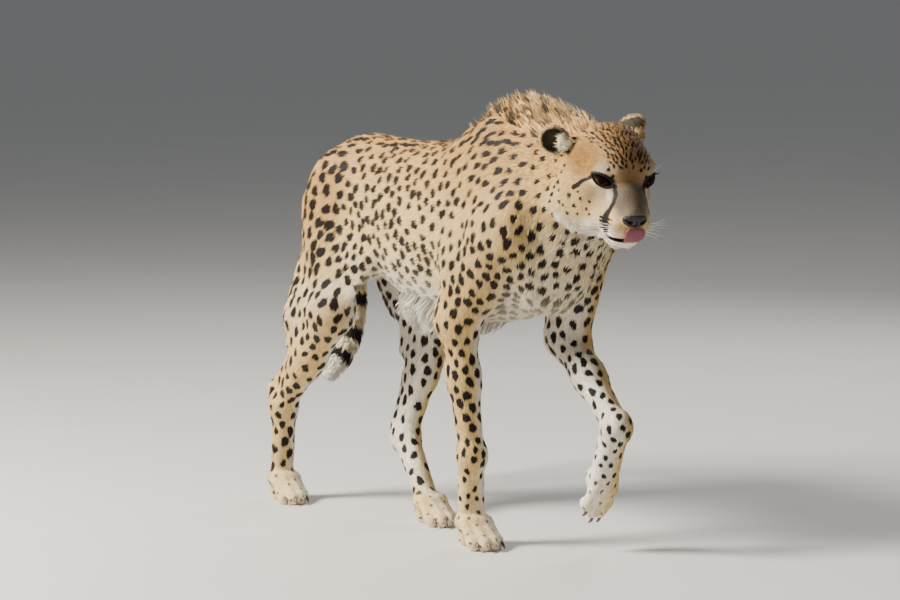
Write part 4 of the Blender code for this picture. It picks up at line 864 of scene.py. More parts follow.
def dart(p, sep, order):
    """indices of points kept at least sep apart (sep varies)"""
    s = float(sep.max())
    cell = np.floor(p / s).astype(int)
    grid = {}
    out = []
    for i in order:
        ci = tuple(cell[i])
        ok = True
        for dx in (-1, 0, 1):
            for dy in (-1, 0, 1):
                for dz in (-1, 0, 1):
                    for j in grid.get((ci[0] + dx, ci[1] + dy, ci[2] + dz), ()):
                        d = p[i] - p[j]
                        if d[0] * d[0] + d[1] * d[1] + d[2] * d[2] < (.5 * (sep[i] + sep[j])) ** 2:
                            ok = False
                            break
                    if not ok: break
                if not ok: break
            if not ok: break
        if ok:
            grid.setdefault(ci, []).append(i)
            out.append(i)
    return V(out)


def tangent(n, f):
    t = f - n * (f * n).sum(1)[:, None]
    return t / (np.linalg.norm(t, axis=1)[:, None] + 1e-9)


sTan = tangent(kn, sF)
no_spot = (w_of('pad') > .3) | (inear > .3) | (skin[:, 2] < .004) | (bare < .5) & (on_head > .5) | (w_of('ear') > .5)
top = ramp(skin[:, 2], .60, .655) * np.clip(w_of('trunk') + w_of('shoulder') + w_of('rump'), 0, 1)
sep = sp_sep * (1 - .26 * top)
# head: dense on the crown, sparse on cheek and bridge
crown = ramp(hq[:, 2], 14, 34) * ramp(-hq[:, 1], -22, 0)
hsep = 5.6 + 4.7 * (1 - crown)
hrad = 2.75 + .25 * (1 - crown)
hw = ramp(is_head, .3, .9)
sep = (sep * (1 - hw) + hsep * hw) / 1000
rad0 = sp_rad * (1 - hw) + hrad * hw
asp0 = (sp_asp + 1.1 * top) * (1 - hw) + (1.15 + .8 * crown) * hw
temple = (np.abs(hq[:, 0]) > 34) & (hq[:, 2] > -2) & (hq[:, 2] < 40) & (hq[:, 1] > -75)
cheek_own = (hq[:, 1] > -62) & (hq[:, 2] < 12) & (hq[:, 2] > -76)
hide_face = (hw > .5) & (temple | cheek_own | (hq[:, 1] > 8) & (hq[:, 2] < 30) | (hq[:, 2] < -66))
cand = np.nonzero(~(no_spot | hide_face))[0]
order = rng.permutation(cand)[:60000]
keep = dart(skin, sep, order)
nK = len(keep)
say('spots', nK)
spc, spn, spt = skin[keep], kn[keep], sTan[keep]
spw = np.cross(spn, spt)
near_head = np.clip(1 - (np.linalg.norm(hq[keep] - V((0, -55, -10)), axis=1) - 88) / 40, 0, 1) * (1 - hw[keep]) * (w_of('neck')[keep] > .2)
spr = rad0[keep] * rng.uniform(.80, 1.14, nK) * (1 - .28 * near_head)
spa = asp0[keep] * rng.uniform(.86, 1.2, nK)
ph = rng.uniform(0, 6.283, (nK, 3))
rot = rng.normal(0, .28, nK)
ct, stn = np.cos(rot)[:, None], np.sin(rot)[:, None]
spt, spw = spt * ct + spw * stn, spw * ct - spt * stn
inner = np.zeros(nK)


def spot_field(p, lim=9.):
    out = np.full(len(p), -lim)
    s = .022
    key = cells_of(p, s)
    od = np.argsort(key, kind='stable')
    ks = key[od]
    uk, st_ = np.unique(ks, return_index=True)
    en = np.append(st_[1:], len(ks))
    table = {int(k): (a, b) for k, a, b in zip(uk, st_, en)}
    ck = np.floor(spc / s).astype(np.int64) + 2000
    for i in range(nK):
        idx = []
        c0 = ck[i]
        for dx in (-1, 0, 1):
            for dy in (-1, 0, 1):
                for dz in (-1, 0, 1):
                    r = table.get(((int(c0[0]) + dx) << 26) + ((int(c0[1]) + dy) << 13) + int(c0[2]) + dz)
                    if r:
                        idx.append(od[r[0]:r[1]])
        if not idx:
            continue
        idx = np.concatenate(idx)
        d = (p[idx] - spc[i]) * 1000
        a_, b_, c_ = d @ spt[i] / spa[i] ** .5, d @ spw[i] * spa[i] ** .5, d @ spn[i]
        rr = np.sqrt(a_ * a_ + b_ * b_ + .6 * c_ * c_)
        th = np.arctan2(b_, a_)
        R = spr[i] * (1 + .10 * np.sin(2 * th + ph[i, 0]) + .09 * np.sin(3 * th + ph[i, 1]) + .05 * np.sin(5 * th + ph[i, 2]))
        v = R - rr
        out[idx] = np.maximum(out[idx], v)
    return out


def face_marks(p, q, W, st, n):
    """dark marks of the head: mm inside their edge"""
    ax = np.abs(q[:, 0])
    m = np.stack([ax, q[:, 1], q[:, 2]], 1)
    out = np.full(len(p), -9.)
    hd = (W[:, TAGS.index('head')] + W[:, TAGS.index('lid')]) > .3
    # tear line from the inner corner of the eye to the lip
    out = np.maximum(out, stroke(m, [(28.3, 6.5, 9.5), (24.0, 12.6, -1.5), (24.4, 20.5, -10), (27.6, 24.6, -20.6), (31.6, 24.5, -31.1), (35.0, 24.2, -39.6), (35.3, 25.2, -48), (34.2, 26, -56), (31.2, 21.5, -66), (29.5, 19, -70)], [3.3, 3.7, 3.6, 3.3, 3.4, 4.8, 6.2, 6.4, 5.8, 4.6]))
    for a_, b_, r in (((40.4, 17.4, -46.8), (35.2, 26, -44.8), 2.6), ((39.0, 17.0, -52.8), (35.2, 25.0, -51.2), 2.6), ((37.2, 16.4, -58.6), (33.3, 24.5, -57), 2.6), ((33.4, 12.0, -66.5), (30, 21.5, -64.2), 2.6),
                      ((34.5, 29, -44.5), (31.6, 32.5, -43.8), 2.3), ((34.6, 29, -50.5), (31.6, 34.0, -50.2), 2.4), ((32.6, 28, -57), (30.4, 33, -57), 2.3)):
        out = np.maximum(out, stroke(m, [a_, b_], [r, r * .85]))
    for c, r in (((30.6, 36.2, -42.5), 1.7), ((31.2, 38.0, -48.5), 1.7), ((29.6, 38.5, -54.5), 1.6), ((28, 36.5, -60.5), 1.5), ((26.5, 43, -46), 1.3), ((25.5, 43, -53), 1.3)):
        out = np.maximum(out, r - np.sqrt(((m - V(c)) ** 2).sum(1)))
    # streak behind the outer corner, broken
    out = np.maximum(out, stroke(m, [(50.5, -13.0, 3.4), (55.0, -20.8, -4.6), (59.2, -24.9, -10)], [3.3, 3.0, 3.2]))
    out = np.maximum(out, stroke(m, [(59.2, -24.9, -10.0), (62.6, -27.6, -16.5), (66.7, -33.6, -24.6)], [3.4, 3.9, 3.8]))
    out = np.maximum(out, stroke(m, [(64.5, -30.5, -20.5), (67.3, -34.9, -25.5)], [2.7, 2.4]))
    # the few spots of the cheek
    for c, r in (((69.0, -36.0, -38.2), 3.2), ((63.7, -24.8, -50.1), 2.9), ((59.1, -18.7, -35.9), 2.3), ((75.9, -49.8, -56.1), 2.4), ((72.6, -41.9, -57.3), 2.3), ((67.3, -34.4, -67.0), 2.6), ((50.8, -8.8, -47.7), 2.1),
                 ((62.3, -24.4, -27.5), 1.7), ((49.5, -7.5, -35.0), 1.8), ((76.9, -64.2, -30.8), 2.9), ((76.9, -55.9, -40.5), 2.1), ((82.8, -83.2, -40.2), 2.7), ((47.6, -4.0, -53.5), 1.6), ((57.5, -20, -60), 1.9), ((80, -68, -52), 2.5), ((84, -88, -24), 2.6), ((74, -58, -16), 1.9), ((84, -86, -58), 2.9)):
        d3, r = m - V(c), r + .9
        out = np.maximum(out, r * (1 + .12 * np.sin(3 * np.arctan2(d3[:, 2], d3[:, 1]) + r * 9)) - np.sqrt((d3 ** 2).sum(1)))
    out[~hd] = -9.
    return out


sSpot = spot_field(skin)
sMark = face_marks(skin, hq, sWs, tst, kn)
# lids, lips and nose skin are dark too
upper = ramp(np.minimum(np.abs(eyeD[0][0]), np.abs(eyeD[1][0])), 0, 1)
eye_top = np.maximum(*[np.where((d < 12) & (y > 1.) & (z > 2), 1., 0.) for d, x, y, z in eyeD])
lidline = 3.0 + 1.3 * eye_top - rim
lipline = 2.1 - lip
sMark = np.maximum(sMark, np.where(on_head > .4, np.maximum(lidline, lipline), -9.))
sMark = np.maximum(sMark, np.where((nose_d < 1.2) & (hq[:, 1] > 44), 1.2 - nose_d, -9.))
# rings near the end of the tail
ring = np.full(nS, -9.)
for a, b in ((5.25, 5.55), (6.15, 6.55), (7.0, 7.35)):
    ring = np.maximum(ring, np.minimum(tst - a, b - tst) * 42)
onT = w_of('tail') > .6
sSpot = np.where(onT & (tst > 4.9), np.maximum(ring, -9.), sSpot)
sSpot = np.where(onT & (tst > 7.45), -9., sSpot)
# strength: greyer and softer on the belly, a little fainter on the paws
side = np.where(skin[:, 0] < 0, -1., 1.)
belly = ramp(-skin[:, 2], -.44, -.38) * np.clip(w_of('trunk') + w_of('chest'), 0, 1) * ramp(-kn[:, 2], .0, .7)
strength = np.clip(1 - .4 * belly, .2, 1) * (1 - .2 * np.clip(w_of('paw'), 0, 1))
sStr = smoothed(sT, nS, strength, 2)
say('marks')

# =====================================================================
#  Materials
# =====================================================================
def nodes_of(name):
    m = bpy.data.materials.new(name)
    m.use_nodes = True
    nt = m.node_tree
    return m, nt, nt.nodes, nt.links, nt.nodes['Principled BSDF']


def attr(nt, name, out='Color'):
    a = nt.nodes.new('ShaderNodeAttribute')
    a.attribute_name = name
    return a.outputs[out]


def math_(nt, op, a, b=None, clamp=False):
    m = nt.nodes.new('ShaderNodeMath')
    m.operation = op
    m.use_clamp = clamp
    for i, x in enumerate((a, b)):
        if x is None: continue
        if isinstance(x, (int, float)): m.inputs[i].default_value = x
        else: nt.links.new(x, m.inputs[i])
    return m.outputs[0]


def noise(nt, scale, detail=3, rough=.5, vec=None, stretch=None):
    tc = nt.nodes.new('ShaderNodeTexCoord')
    v = vec or tc.outputs['Object']
    if stretch:
        mp = nt.nodes.new('ShaderNodeMapping')
        mp.inputs['Scale'].default_value = stretch
        nt.links.new(v, mp.inputs['Vector'])
        v = mp.outputs[0]
    n = nt.nodes.new('ShaderNodeTexNoise')
    n.inputs['Scale'].default_value = scale
    n.inputs['Detail'].default_value = detail
    n.inputs['Roughness'].default_value = rough
    nt.links.new(v, n.inputs['Vector'])
    return n.outputs['Fac']


def mix_col(nt, fac, a, b, mode='MIX'):
    m = nt.nodes.new('ShaderNodeMix')
    m.data_type = 'RGBA'
    m.blend_type = mode
    for s, x in ((m.inputs['Factor'], fac), (m.inputs['A'], a), (m.inputs['B'], b)):
        if isinstance(x, (int, float)): s.default_value = x
        elif isinstance(x, (tuple, np.ndarray)): s.default_value = (*x[:3], 1)
        else: nt.links.new(x, s)
    return m.outputs['Result']


def bump(nt, h, dist, strength=.5):
    b = nt.nodes.new('ShaderNodeBump')
    b.inputs['Distance'].default_value = dist
    b.inputs['Strength'].default_value = strength
    nt.links.new(h, b.inputs['Height'])
    return b.outputs[0]


def skin_material():
    m, nt, N, L, B = nodes_of('skin_coat')
    fine = noise(nt, 900, 2, .6)
    edge = math_(nt, 'ADD', attr(nt, 'spot', 'Fac'), math_(nt, 'MULTIPLY', math_(nt, 'SUBTRACT', fine, .5), 3.2))
    edge = math_(nt, 'ADD', math_(nt, 'MULTIPLY', edge, .55), .5, True)
    edge = math_(nt, 'MULTIPLY', edge, attr(nt, 'strength', 'Fac'))
    mk = math_(nt, 'ADD', attr(nt, 'mark', 'Fac'), math_(nt, 'MULTIPLY', math_(nt, 'SUBTRACT', fine, .5), 1.4))
    mk = math_(nt, 'ADD', math_(nt, 'MULTIPLY', mk, .8), .5, True)
    dark = math_(nt, 'MAXIMUM', edge, mk)
    g = attr(nt, 'ground')
    cloud = noise(nt, 30, 4, .6)
    g2 = mix_col(nt, math_(nt, 'MULTIPLY', cloud, .35), g, (.78, .60, .42), 'MULTIPLY')
    hair = noise(nt, 420, 3, .65, stretch=(1, .35, .55))
    g3 = mix_col(nt, math_(nt, 'MULTIPLY', hair, .5), g2, (.62, .52, .42), 'MULTIPLY')
    col = mix_col(nt, dark, g3, tuple(DARK * .9))
    L.new(col, B.inputs['Base Color'])
    B.inputs['Roughness'].default_value = .72
    B.inputs['Specular IOR Level'].default_value = .25
    L.new(bump(nt, hair, .0012, .6), B.inputs['Normal'])
    return m


def fur_material():
    m, nt, N, L, B = nodes_of('fur')
    t = attr(nt, 'tint')
    n1 = noise(nt, 260, 3, .6)
    c = mix_col(nt, math_(nt, 'MULTIPLY', n1, .45), t, (.66, .58, .50), 'MULTIPLY')
    n2 = noise(nt, 34, 3, .6)
    c = mix_col(nt, math_(nt, 'MULTIPLY', n2, .25), c, (.85, .72, .58), 'MULTIPLY')
    L.new(c, B.inputs['Base Color'])
    B.inputs['Roughness'].default_value = .62
    B.inputs['Specular IOR Level'].default_value = .18
    B.inputs['Sheen Weight'].default_value = .04
    B.inputs['Sheen Roughness'].default_value = .5
    return m


SKIN_M, FUR_M = skin_material(), fur_material()
so = fast_mesh('skin', skin + SHIFT, sT)
put_attr(so, 'ground', sCol)
put_attr(so, 'spot', sSpot)
put_attr(so, 'mark', sMark)
put_attr(so, 'strength', sStr)
so.data.materials.append(SKIN_M)
FLESH = ['head', 'neck', 'chest', 'abdomen', 'rump', 'ear_L', 'ear_R'] + ['tail_%d' % i for i in (1, 2, 3, 4)] + \
    [p + s for p in ('forearm_', 'pastern_', 'thigh_', 'shank_', 'hock_', 'paw_fore_', 'paw_hind_') for s in 'LR']
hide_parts(*FLESH)
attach(so, 'root')
say('skin done')

# =====================================================================
#  Coat
# =====================================================================
GROUPS = {'head': ('head', 'ear', 'lid'), 'neck': ('neck',), 'fore': ('arm', 'forearm', 'wrist', 'pastern'), 'paws': ('paw', 'pad'),
          'hind': ('knee', 'shank', 'hock'), 'thigh': ('thigh',), 'tail': ('tail',), 'body': ('trunk', 'rump', 'shoulder', 'chest')}
gW = np.stack([sum(sWs[:, TAGS.index(t)] for t in g) for g in GROUPS.values()], 1)
GN = list(GROUPS)


def area_pick(tri_w, n):
    a, b, c = (skin[sT[:, k]] for k in range(3))
    A = .5 * np.linalg.norm(np.cross(b - a, c - a), axis=1)
    w = A * tri_w
    cw = np.cumsum(w)
    total = cw[-1]
    if n is None:
        n = int(total)
    t = np.searchsorted(cw, (np.arange(n) + rng.random(n)) / n * total)
    t = np.minimum(t, len(w) - 1)
    r1, r2 = np.sqrt(rng.random(n)), rng.random(n)
    return t, np.stack([1 - r1, r1 * (1 - r2), r1 * r2], 1)


def at(t, b, X):
    X = np.asarray(X)
    if X.ndim == 1:
        return (X[sT[t]] * b).sum(1)
    return (X[sT[t]] * b[..., None]).sum(1)


def build_tufts(P, N, T, L, W, Hh, C0, C1, seg, uv, thick=.5, bend=None, shade=.7):
    """closed spikes that rise from the skin and lie over; returns vertices, triangles, colours, normals, uv"""
    n = len(P)
    S = np.cross(N, T)
    W = W[:, None] * .5
    L = L[:, None]
    Hh = Hh[:, None]
    P = P - N * .0005
    rings = []
    cols = []
    uvs = []
    if seg == 1:
        rings += [P - S * W, P + S * W, P + N * W * thick * 2]
        tip = P + T * L + N * Hh
        tri = V([(0, 3, 2), (2, 3, 1), (1, 3, 0), (0, 2, 1)])
        k = 4
        cols = [C0, C0, C0, C1]
    else:
        M = P + T * L * .5 + N * Hh * .78
        rings += [P - S * W * .8, P + S * W * .8, P + N * W * thick * 2, M - S * W, M + S * W, M + N * W * thick * 1.6]
        tip = P + T * L + N * Hh * (1. if bend is None else bend)
        tri = V([(0, 3, 5), (0, 5, 2), (2, 5, 4), (2, 4, 1), (1, 4, 3), (1, 3, 0), (3, 6, 5), (5, 6, 4), (4, 6, 3), (0, 2, 1)])
        k = 7
        Cm = C0 * .4 + C1 * .6
        cols = [C0, C0, C0, Cm, Cm, Cm, C1]
    v = np.stack(rings + [tip], 1).reshape(-1, 3)
    F = (np.arange(n)[:, None, None] * k + tri[None]).reshape(-1, 3)
    c = np.stack(cols, 1).reshape(-1, 3)
    # soft normals: the skin's, leaning to each side of the hair
    lean = [-1, 1, 0] * (k // 3) + [0]
    nn = np.stack([N * shade + S * (.6 * l) + T * .10 for l in lean], 1).reshape(-1, 3)
    nn /= np.linalg.norm(nn, axis=1)[:, None]
    du = [(-.0012, -.001), (.0012, -.001), (0, -.0006)] * (k // 3) + [(0, .0015)]
    if k == 7:
        du[3:6] = [(-.0012, .0004), (.0012, .0004), (0, .0004)]
    u = np.stack([uv + V(d) for d in du], 1).reshape(-1, 2)
    return v, F, c, nn, u


AXES = {}


def unwrap(P, key):
    """place on a roll-out of the skin round the part's own axis, 0..1"""
    if key == 'tail':
        st, _ = tail_place(P)
        c = V([np.interp(st, np.linspace(0, 8, len(TAIL_C)), TAIL_C[:, j]) for j in range(3)]).T
        d = P - c
        return np.stack([(np.arctan2(d[:, 0], d[:, 1]) / 6.2832 + .5), st / 8], 1)
    if key[:4] == 'head':
        c = H(0, -20, -15)
        d = ((P - c) @ HM.T)
        return np.stack([np.arctan2(d[:, 0], d[:, 2]) / 6.2832 + .5, np.arctan2(d[:, 1], np.hypot(d[:, 0], d[:, 2])) / 3.1416 + .5], 1)
    a, b, ref = AXES[key]
    a, b = V(a, float), V(b, float)
    ax = unit(b - a)
    r = unit(V(ref) - ax * np.dot(ref, ax))
    w = np.cross(ax, r)
    d = P - a
    return np.stack([np.arctan2(d @ w, d @ r) / 6.2832 + .5, np.clip((d @ ax) / np.linalg.norm(b - a), 0, 1)], 1)


COATS = []
CUTSY = [-.33, -.22, -.10, .03, .16, .5]


def piece_keys(P, g):
    """name of the coat piece each root belongs to"""
    key = np.empty(len(P), object)
    for i in range(len(GN)):
        key[g == i] = GN[i]
    body = key == 'body'
    for i in range(6):
        lo = -9 if i == 0 else CUTSY[i - 1]
        key[body & (P[:, 1] >= lo) & (P[:, 1] < CUTSY[i])] = 'body_%d' % (i + 1)
    for nm in ('fore', 'hind', 'thigh', 'paws'):
        m = key == nm
        key[m & (P[:, 0] < (.0 if nm != 'hind' else -.0))] = nm + '_R'
        key[m & (P[:, 0] >= 0)] = nm + '_L'
    m = key == 'head'
    sx = loc(P)[:, 0]
    key[m & (sx < 0)] = 'head_R'
    key[m & (sx >= 0)] = 'head_L'
    for s in 'RL':
        m = key == 'paws_' + s
        key[m & (P[:, 1] < -.05)] = 'paw_fore_' + s
    m = (key == 'paws_R')
    key[m] = 'paw_hind_R'
    m = (key == 'paws_L')
    key[m] = 'paw_hind_L'
    # the left hind paw stands under the middle line
    m = (key == 'paw_hind_R') & (P[:, 1] < .2)
    key[m] = 'paw_hind_L'
    m = (key == 'hind_R') & (P[:, 1] < .22) & (P[:, 2] < .25)
    key[m] = 'hind_L'
    return key


for i in range(6):
    AXES['body_%d' % (i + 1)] = ((0, -.36, .52), (0, .36, .52), (0, 0, -1))
AXES['neck'] = ((0, -.22, .56), (0, -.44, .62), (0, 0, -1))
for s in 'RL':
    AXES['fore_' + s] = (J['s' + s], J['m' + s], (0, 1, 0))
    AXES['hind_' + s] = (J['k' + s] + V((0, 0, .06)), J['n' + s], (0, 1, 0))
    AXES['thigh_' + s] = (J['h' + s] + V((0, 0, .05)), J['k' + s] - V((0, 0, .06)), (0, 1, 0))
    AXES['paw_fore_' + s] = (J['m' + s] + V((0, .03, .02)), J['m' + s] + V((0, -.07, -.03)), (0, 0, -1)) if s == 'R' else (J['mL'] + V((0, 0, .02)), J['mL'] + V((0, -.03, -.10)), (0, 1, 0))
    AXES['paw_hind_' + s] = (J['n' + s] + V((0, .03, .02)), J['n' + s] + V((0, -.07, -.03)), (0, 0, -1))

BUCKET = {}


def add_tufts(P, N, T, L, W, Hh, C0, C1, g, seg=1, thick=.5, bend=None, shade=.7):
    keys = piece_keys(P, g)
    for k in np.unique(keys.astype(str)):
        m = keys == k
        uv = unwrap(P[m], k) * .97 + .015
        BUCKET.setdefault(k, []).append(build_tufts(P[m], N[m], T[m], L[m], W[m], Hh[m], C0[m], C1[m], seg, uv, thick, None if bend is None else bend[m], shade))


def roots(tri_w, n=None):
    t, b = area_pick(tri_w, n)
    P = at(t, b, skin)
    N = at(t, b, kn)
    N /= np.linalg.norm(N, axis=1)[:, None]
    F = at(t, b, sF)
    g = gW[sT[t, 0]].argmax(1)
    return t, b, P, N, F, g


def coat_colours(t, b, P, n, mid, jit=.5):
    """root and tip colour of each tuft, with the same markings as the skin; mid = its middle"""
    G = at(t, b, sCol)
    tl_ = at(t, b, w_of('tail')) > .6
    nn = at(t, b, kn)
    nn /= np.linalg.norm(nn, axis=1)[:, None] + 1e-9
    mid = mid - nn * ((mid - P) * nn).sum(1)[:, None]
    sp = np.where(tl_, at(t, b, sSpot), spot_field(mid))
    mk = at(t, b, sMark)
    ht = at(t, b, is_head) > .35
    hi_ = np.nonzero(ht)[0]
    if len(hi_):
        qm = loc(mid[hi_])
        (dR, _, yR, _), (dL, _, yL, _) = eye_place(qm, -1), eye_place(qm, 1)
        lidl = 2.7 + 1.3 * (np.where(dR < dL, yR, yL) > 1.) - np.minimum(np.abs(dR), np.abs(dL))
        near_eye = at(t[hi_], b[hi_], rim) < 8
        lipl = 1.7 - np.abs(mouth_f(mid[hi_])) * 1000
        near_lip = at(t[hi_], b[hi_], lip) < 8
        mm = face_marks(mid[hi_], qm, np.ones((len(hi_), len(TAGS))), None, None)
        mk[hi_] = np.maximum(mm, np.maximum(np.where(near_eye, lidl, -9.), np.where(near_lip, lipl, -9.)))
    st = at(t, b, sStr)
    e = np.clip((sp + .75 * (1 - .7 * ht) + rng.normal(0, .6, n) * jit) * 1.5 + .5, 0, 1) * st
    e = np.maximum(e, np.clip((mk + rng.normal(0, .25, n)) * 1.6 + .5, 0, 1))
    var = rng.uniform(.80, 1.14, n)[:, None]
    warm = rng.normal(0, .05, n)[:, None] * V([[1, 0, -1.]])
    c1 = np.clip(G * var * (1 + warm), 0, 1)
    c0 = c1 * V([[.70, .62, .52]])
    dk = DARK * rng.uniform(.55, 1.4, n)[:, None]
    c1 = c1 * (1 - e[:, None]) + dk * e[:, None]
    c0 = c0 * (1 - e[:, None]) + dk * .8 * e[:, None]
    return c0, c1, e


def lay(N, F, n, spread):
    """direction of lie: the flow, tangent, with scatter"""
    T = tangent(N, F)
    S = np.cross(N, T)
    a = rng.normal(0, spread, n)[:, None]
    return T * np.cos(a) + S * np.sin(a)


# ---- short coat over everything ----
DENS = 1.
gDens = dict(head=460e3, neck=200e3, fore=270e3, paws=330e3, hind=270e3, thigh=220e3, tail=260e3, body=215e3)
dens_v = gW @ V([gDens[g] for g in GN])
thin = np.clip(bare, 0, 1)
bar_v = np.where(on_head > .4, thin * 1., 1.) * (1 - .93 * inear) * np.where(w_of('pad') > .35, 0., 1.) * np.where(skin[:, 2] < .0015, 0., 1.)
bar_v = smoothed(sT, nS, bar_v, 1)
bar_v = np.where(bar_v < .12, 0, bar_v)
tw = (dens_v * bar_v)[sT].mean(1) * DENS
t, b, P, N, F, g = roots(tw)
n = len(P)
hl = at(t, b, hlen) / 1000
dp = at(t, b, depth)
hd = at(t, b, on_head)
T = lay(N, F, n, .15)
L = hl * rng.uniform(.75, 1.2, n)
ff = at(t, b, fwd)
L = L * (1 - .45 * ff * hd)
c0, c1, e = coat_colours(t, b, P, n, P + T * L[:, None] * .5)
W = np.clip(.00055 + L * .085, .0006, .0019) * rng.uniform(.8, 1.25, n)
lock = at(t, b, STREAK)
Hh = dp * np.clip(rng.uniform(.50, .95, n) * (1 + .22 * lock), .25, 1.25)
L = L * (1 + .12 * lock)
add_tufts(P, N, T, L, W, Hh, c0, c1, g, 1)
say('short coat', n)

# ---- long hair: nape crest, belly fringe, ruff, chest, tail, crown, nape and cheeks ----
def near(tag):
    out = np.full(nS, 9.)
    for q in PR:
        if q['tag'] == tag:
            out = np.minimum(out, q['f'](skin))
    return out


mane_d, belly_d, ruff_d = near('mane'), near('belly'), near('ruff')
full = lambda p: body_sdf(p, fur=True)


def long_hair(weight, n, lift, extra, length, width, spread, colour=None, seg=2, name='', over=.002, pull=.75, clump=.009, gather=.6, wild=.0, streaky=.14, root_marks=True, hard=.16, dusky=.0):
    """locks in the direction of the lie + lift * normal + extra, up to length, kept near the coat's outline.
    hairs rooted within one cell of the given size draw together towards their lock's tip"""
    n = int(n * (1))
    if weight.sum() <= 0:
        say(name, 'none')
        return
    t, b, P, N, F, g = roots(weight[sT].mean(1), n)
    T = lay(N, F, n, spread)
    D = T * (1 - lift) + N * lift + V(extra, float)
    D += rng.normal(0, spread * .35, (n, 3))
    D /= np.linalg.norm(D, axis=1)[:, None]
    # locks
    cell = cells_of(P + rng.normal(0, clump * .12, (n, 3)), clump)
    _, cid = np.unique(cell, return_inverse=True)
    nc = int(cid.max()) + 1
    cnt = np.bincount(cid, minlength=nc)
    mean = lambda X: np.stack([np.bincount(cid, X[:, j], nc) for j in range(3)], 1) / cnt[:, None]
    Pc, Dc = mean(P), mean(D) + rng.normal(0, hard, (nc, 3))
    Dc /= np.linalg.norm(Dc, axis=1)[:, None]
    lc = length * rng.uniform(.62, 1.12, nc)
    stray = rng.random(n) < wild
    Lm = lc[cid] * rng.uniform(.78, 1.06, n)
    k = gather * np.where(stray, .15, 1.)[:, None] if gather else np.zeros((n, 1))
    tip = (P + D * Lm[:, None]) * (1 - k) + (Pc + Dc * lc[:, None])[cid] * k
    D = tip - P
    Lm = np.linalg.norm(D, axis=1)
    D /= Lm[:, None] + 1e-9
    ov = over * np.where(stray, 2.4, rng.uniform(.3, 1.3, nc)[cid])
    ok = np.ones(n, bool)
    ln = np.full(n, .25)
    for q in np.linspace(.25, 1, 9):
        ok &= full(P + D * (Lm * q)[:, None]) < ov
        ln = np.where(ok, q, ln)
    ln = ln * Lm
    dn = (D * N).sum(1)
    Tt = D - N * dn[:, None]
    tl_ = np.linalg.norm(Tt, axis=1)
    mid = P + (Tt * .15 if root_marks else D * .4) * ln[:, None]
    c0, c1, e = coat_colours(t, b, P, n, mid)
    tone = np.exp(rng.normal(0, streaky, nc))
    tone = np.where(rng.random(nc) < dusky, tone * .45, tone)[cid][:, None]
    if colour is not None:
        k = (pull * (1 - .75 * e))[:, None]
        c1 = c1 * (1 - k) + colour * rng.uniform(.84, 1.08, n)[:, None] * k
        c0 = c0 * (1 - k * .5) + colour * .72 * k * .5
    add_tufts(P, N, Tt / (tl_[:, None] + 1e-9), ln * tl_, width * rng.uniform(.7, 1.3, n), ln * dn, np.clip(c0 * tone, 0, 1), np.clip(c1 * tone, 0, 1), g, seg)
    say(name, n, 'mean length mm', round(float(ln.mean() * 1000), 1), 'locks', nc)


mw = ramp(-mane_d, -.008, .004) * (skin[:, 2] > .56) * (1 - on_head) * (kn[:, 2] > -.1)
bw = ramp(skin[:, 1], -.125, -.085) * ramp(-belly_d, -.008, .004) * (skin[:, 2] < .44) * (kn[:, 2] < .5) * np.clip((w_of('trunk') + w_of('chest')) * 1.5, 0, 1)
rp = [(79, -60, -68), (73, -46, -71), (65, -35, -76), (56, -26, -81), (47, -19, -82), (38, -6, -79), (32, 10, -78), (26, 21, -84), (10, 30, -89)]
mh = np.stack([np.abs(hq[:, 0]), hq[:, 1], hq[:, 2]], 1)
rw = ramp(stroke(mh, rp, [1.6, 2.4, 3.2, 3.8, 4, 4.4, 5, 5.5, 5.5]), 0, 3) * np.array([.5, 1.])[(mh[:, 1] > -48).astype(int)]
cw = np.clip(w_of('chest') + w_of('neck'), 0, 1) * ramp(-kn[:, 1], .2, .7) * (skin[:, 2] < .60) * (1 - on_head)
tl = w_of('tail') * ramp(tst, 1.5, 4)
crown_w = crown * hw * (hq[:, 2] > 20)
say('weights', [round(float(x.sum()), 1) for x in (mw, bw, rw, cw, tl, crown_w)])
PALE = srgb(230, 190, 130)
long_hair(mw, 7600, .70, (0, .10, .20), .046, .0016, .16, colour=PALE, name='crest', pull=.4, over=.0055, clump=.0095, wild=.10, streaky=.26, hard=.20, dusky=.28)
long_hair(bw, 7800, .35, (0, .10, -.55), .056, .0016, .15, colour=WHITE, name='belly', over=.007, clump=.011, wild=.08, streaky=.14, pull=.5, dusky=.06)
long_hair(rw, 4600, .22, (0, .05, -.20), .014, .0006, .14, colour=srgb(246, 240, 226), name='ruff', over=.004, pull=.8, clump=.0045, wild=.1, streaky=.05, gather=.45)
long_hair(cw, 4200, .16, (0, 0, -.1), .014, .0012, .12, name='chest', over=.002, clump=.008, streaky=.10, root_marks=False, gather=.4)
long_hair(tl, 5200, .30, (0, 0, 0), .022, .0014, .12, name='tail hair', over=.003, clump=.009, streaky=.12)
long_hair(crown_w, 1800, .30, (0, 0, 0), .009, .0008, .14, name='crown', over=.0018, clump=.005, streaky=.12)
nape = ramp(w_of('neck'), .3, .7) * (skin[:, 2] > .585) * (1 - on_head) * (1 - np.clip(mw, 0, 1))
long_hair(nape, 3200, .20, (0, 0, 0), .013, .0011, .12, name='nape', over=.0025, clump=.008, streaky=.10, root_marks=False, gather=.4)
cheek_w = ramp(hw, .5, .9) * (hq[:, 1] < -30) * (np.abs(hq[:, 0]) > 40) * (hq[:, 2] < 30) * (1 - inear) * (w_of('ear') < .3)
long_hair(cheek_w, 3000, .20, (0, 0, 0), .008, .0006, .16, name='cheek', over=.0015, clump=.004, streaky=.08, root_marks=False, gather=.35)
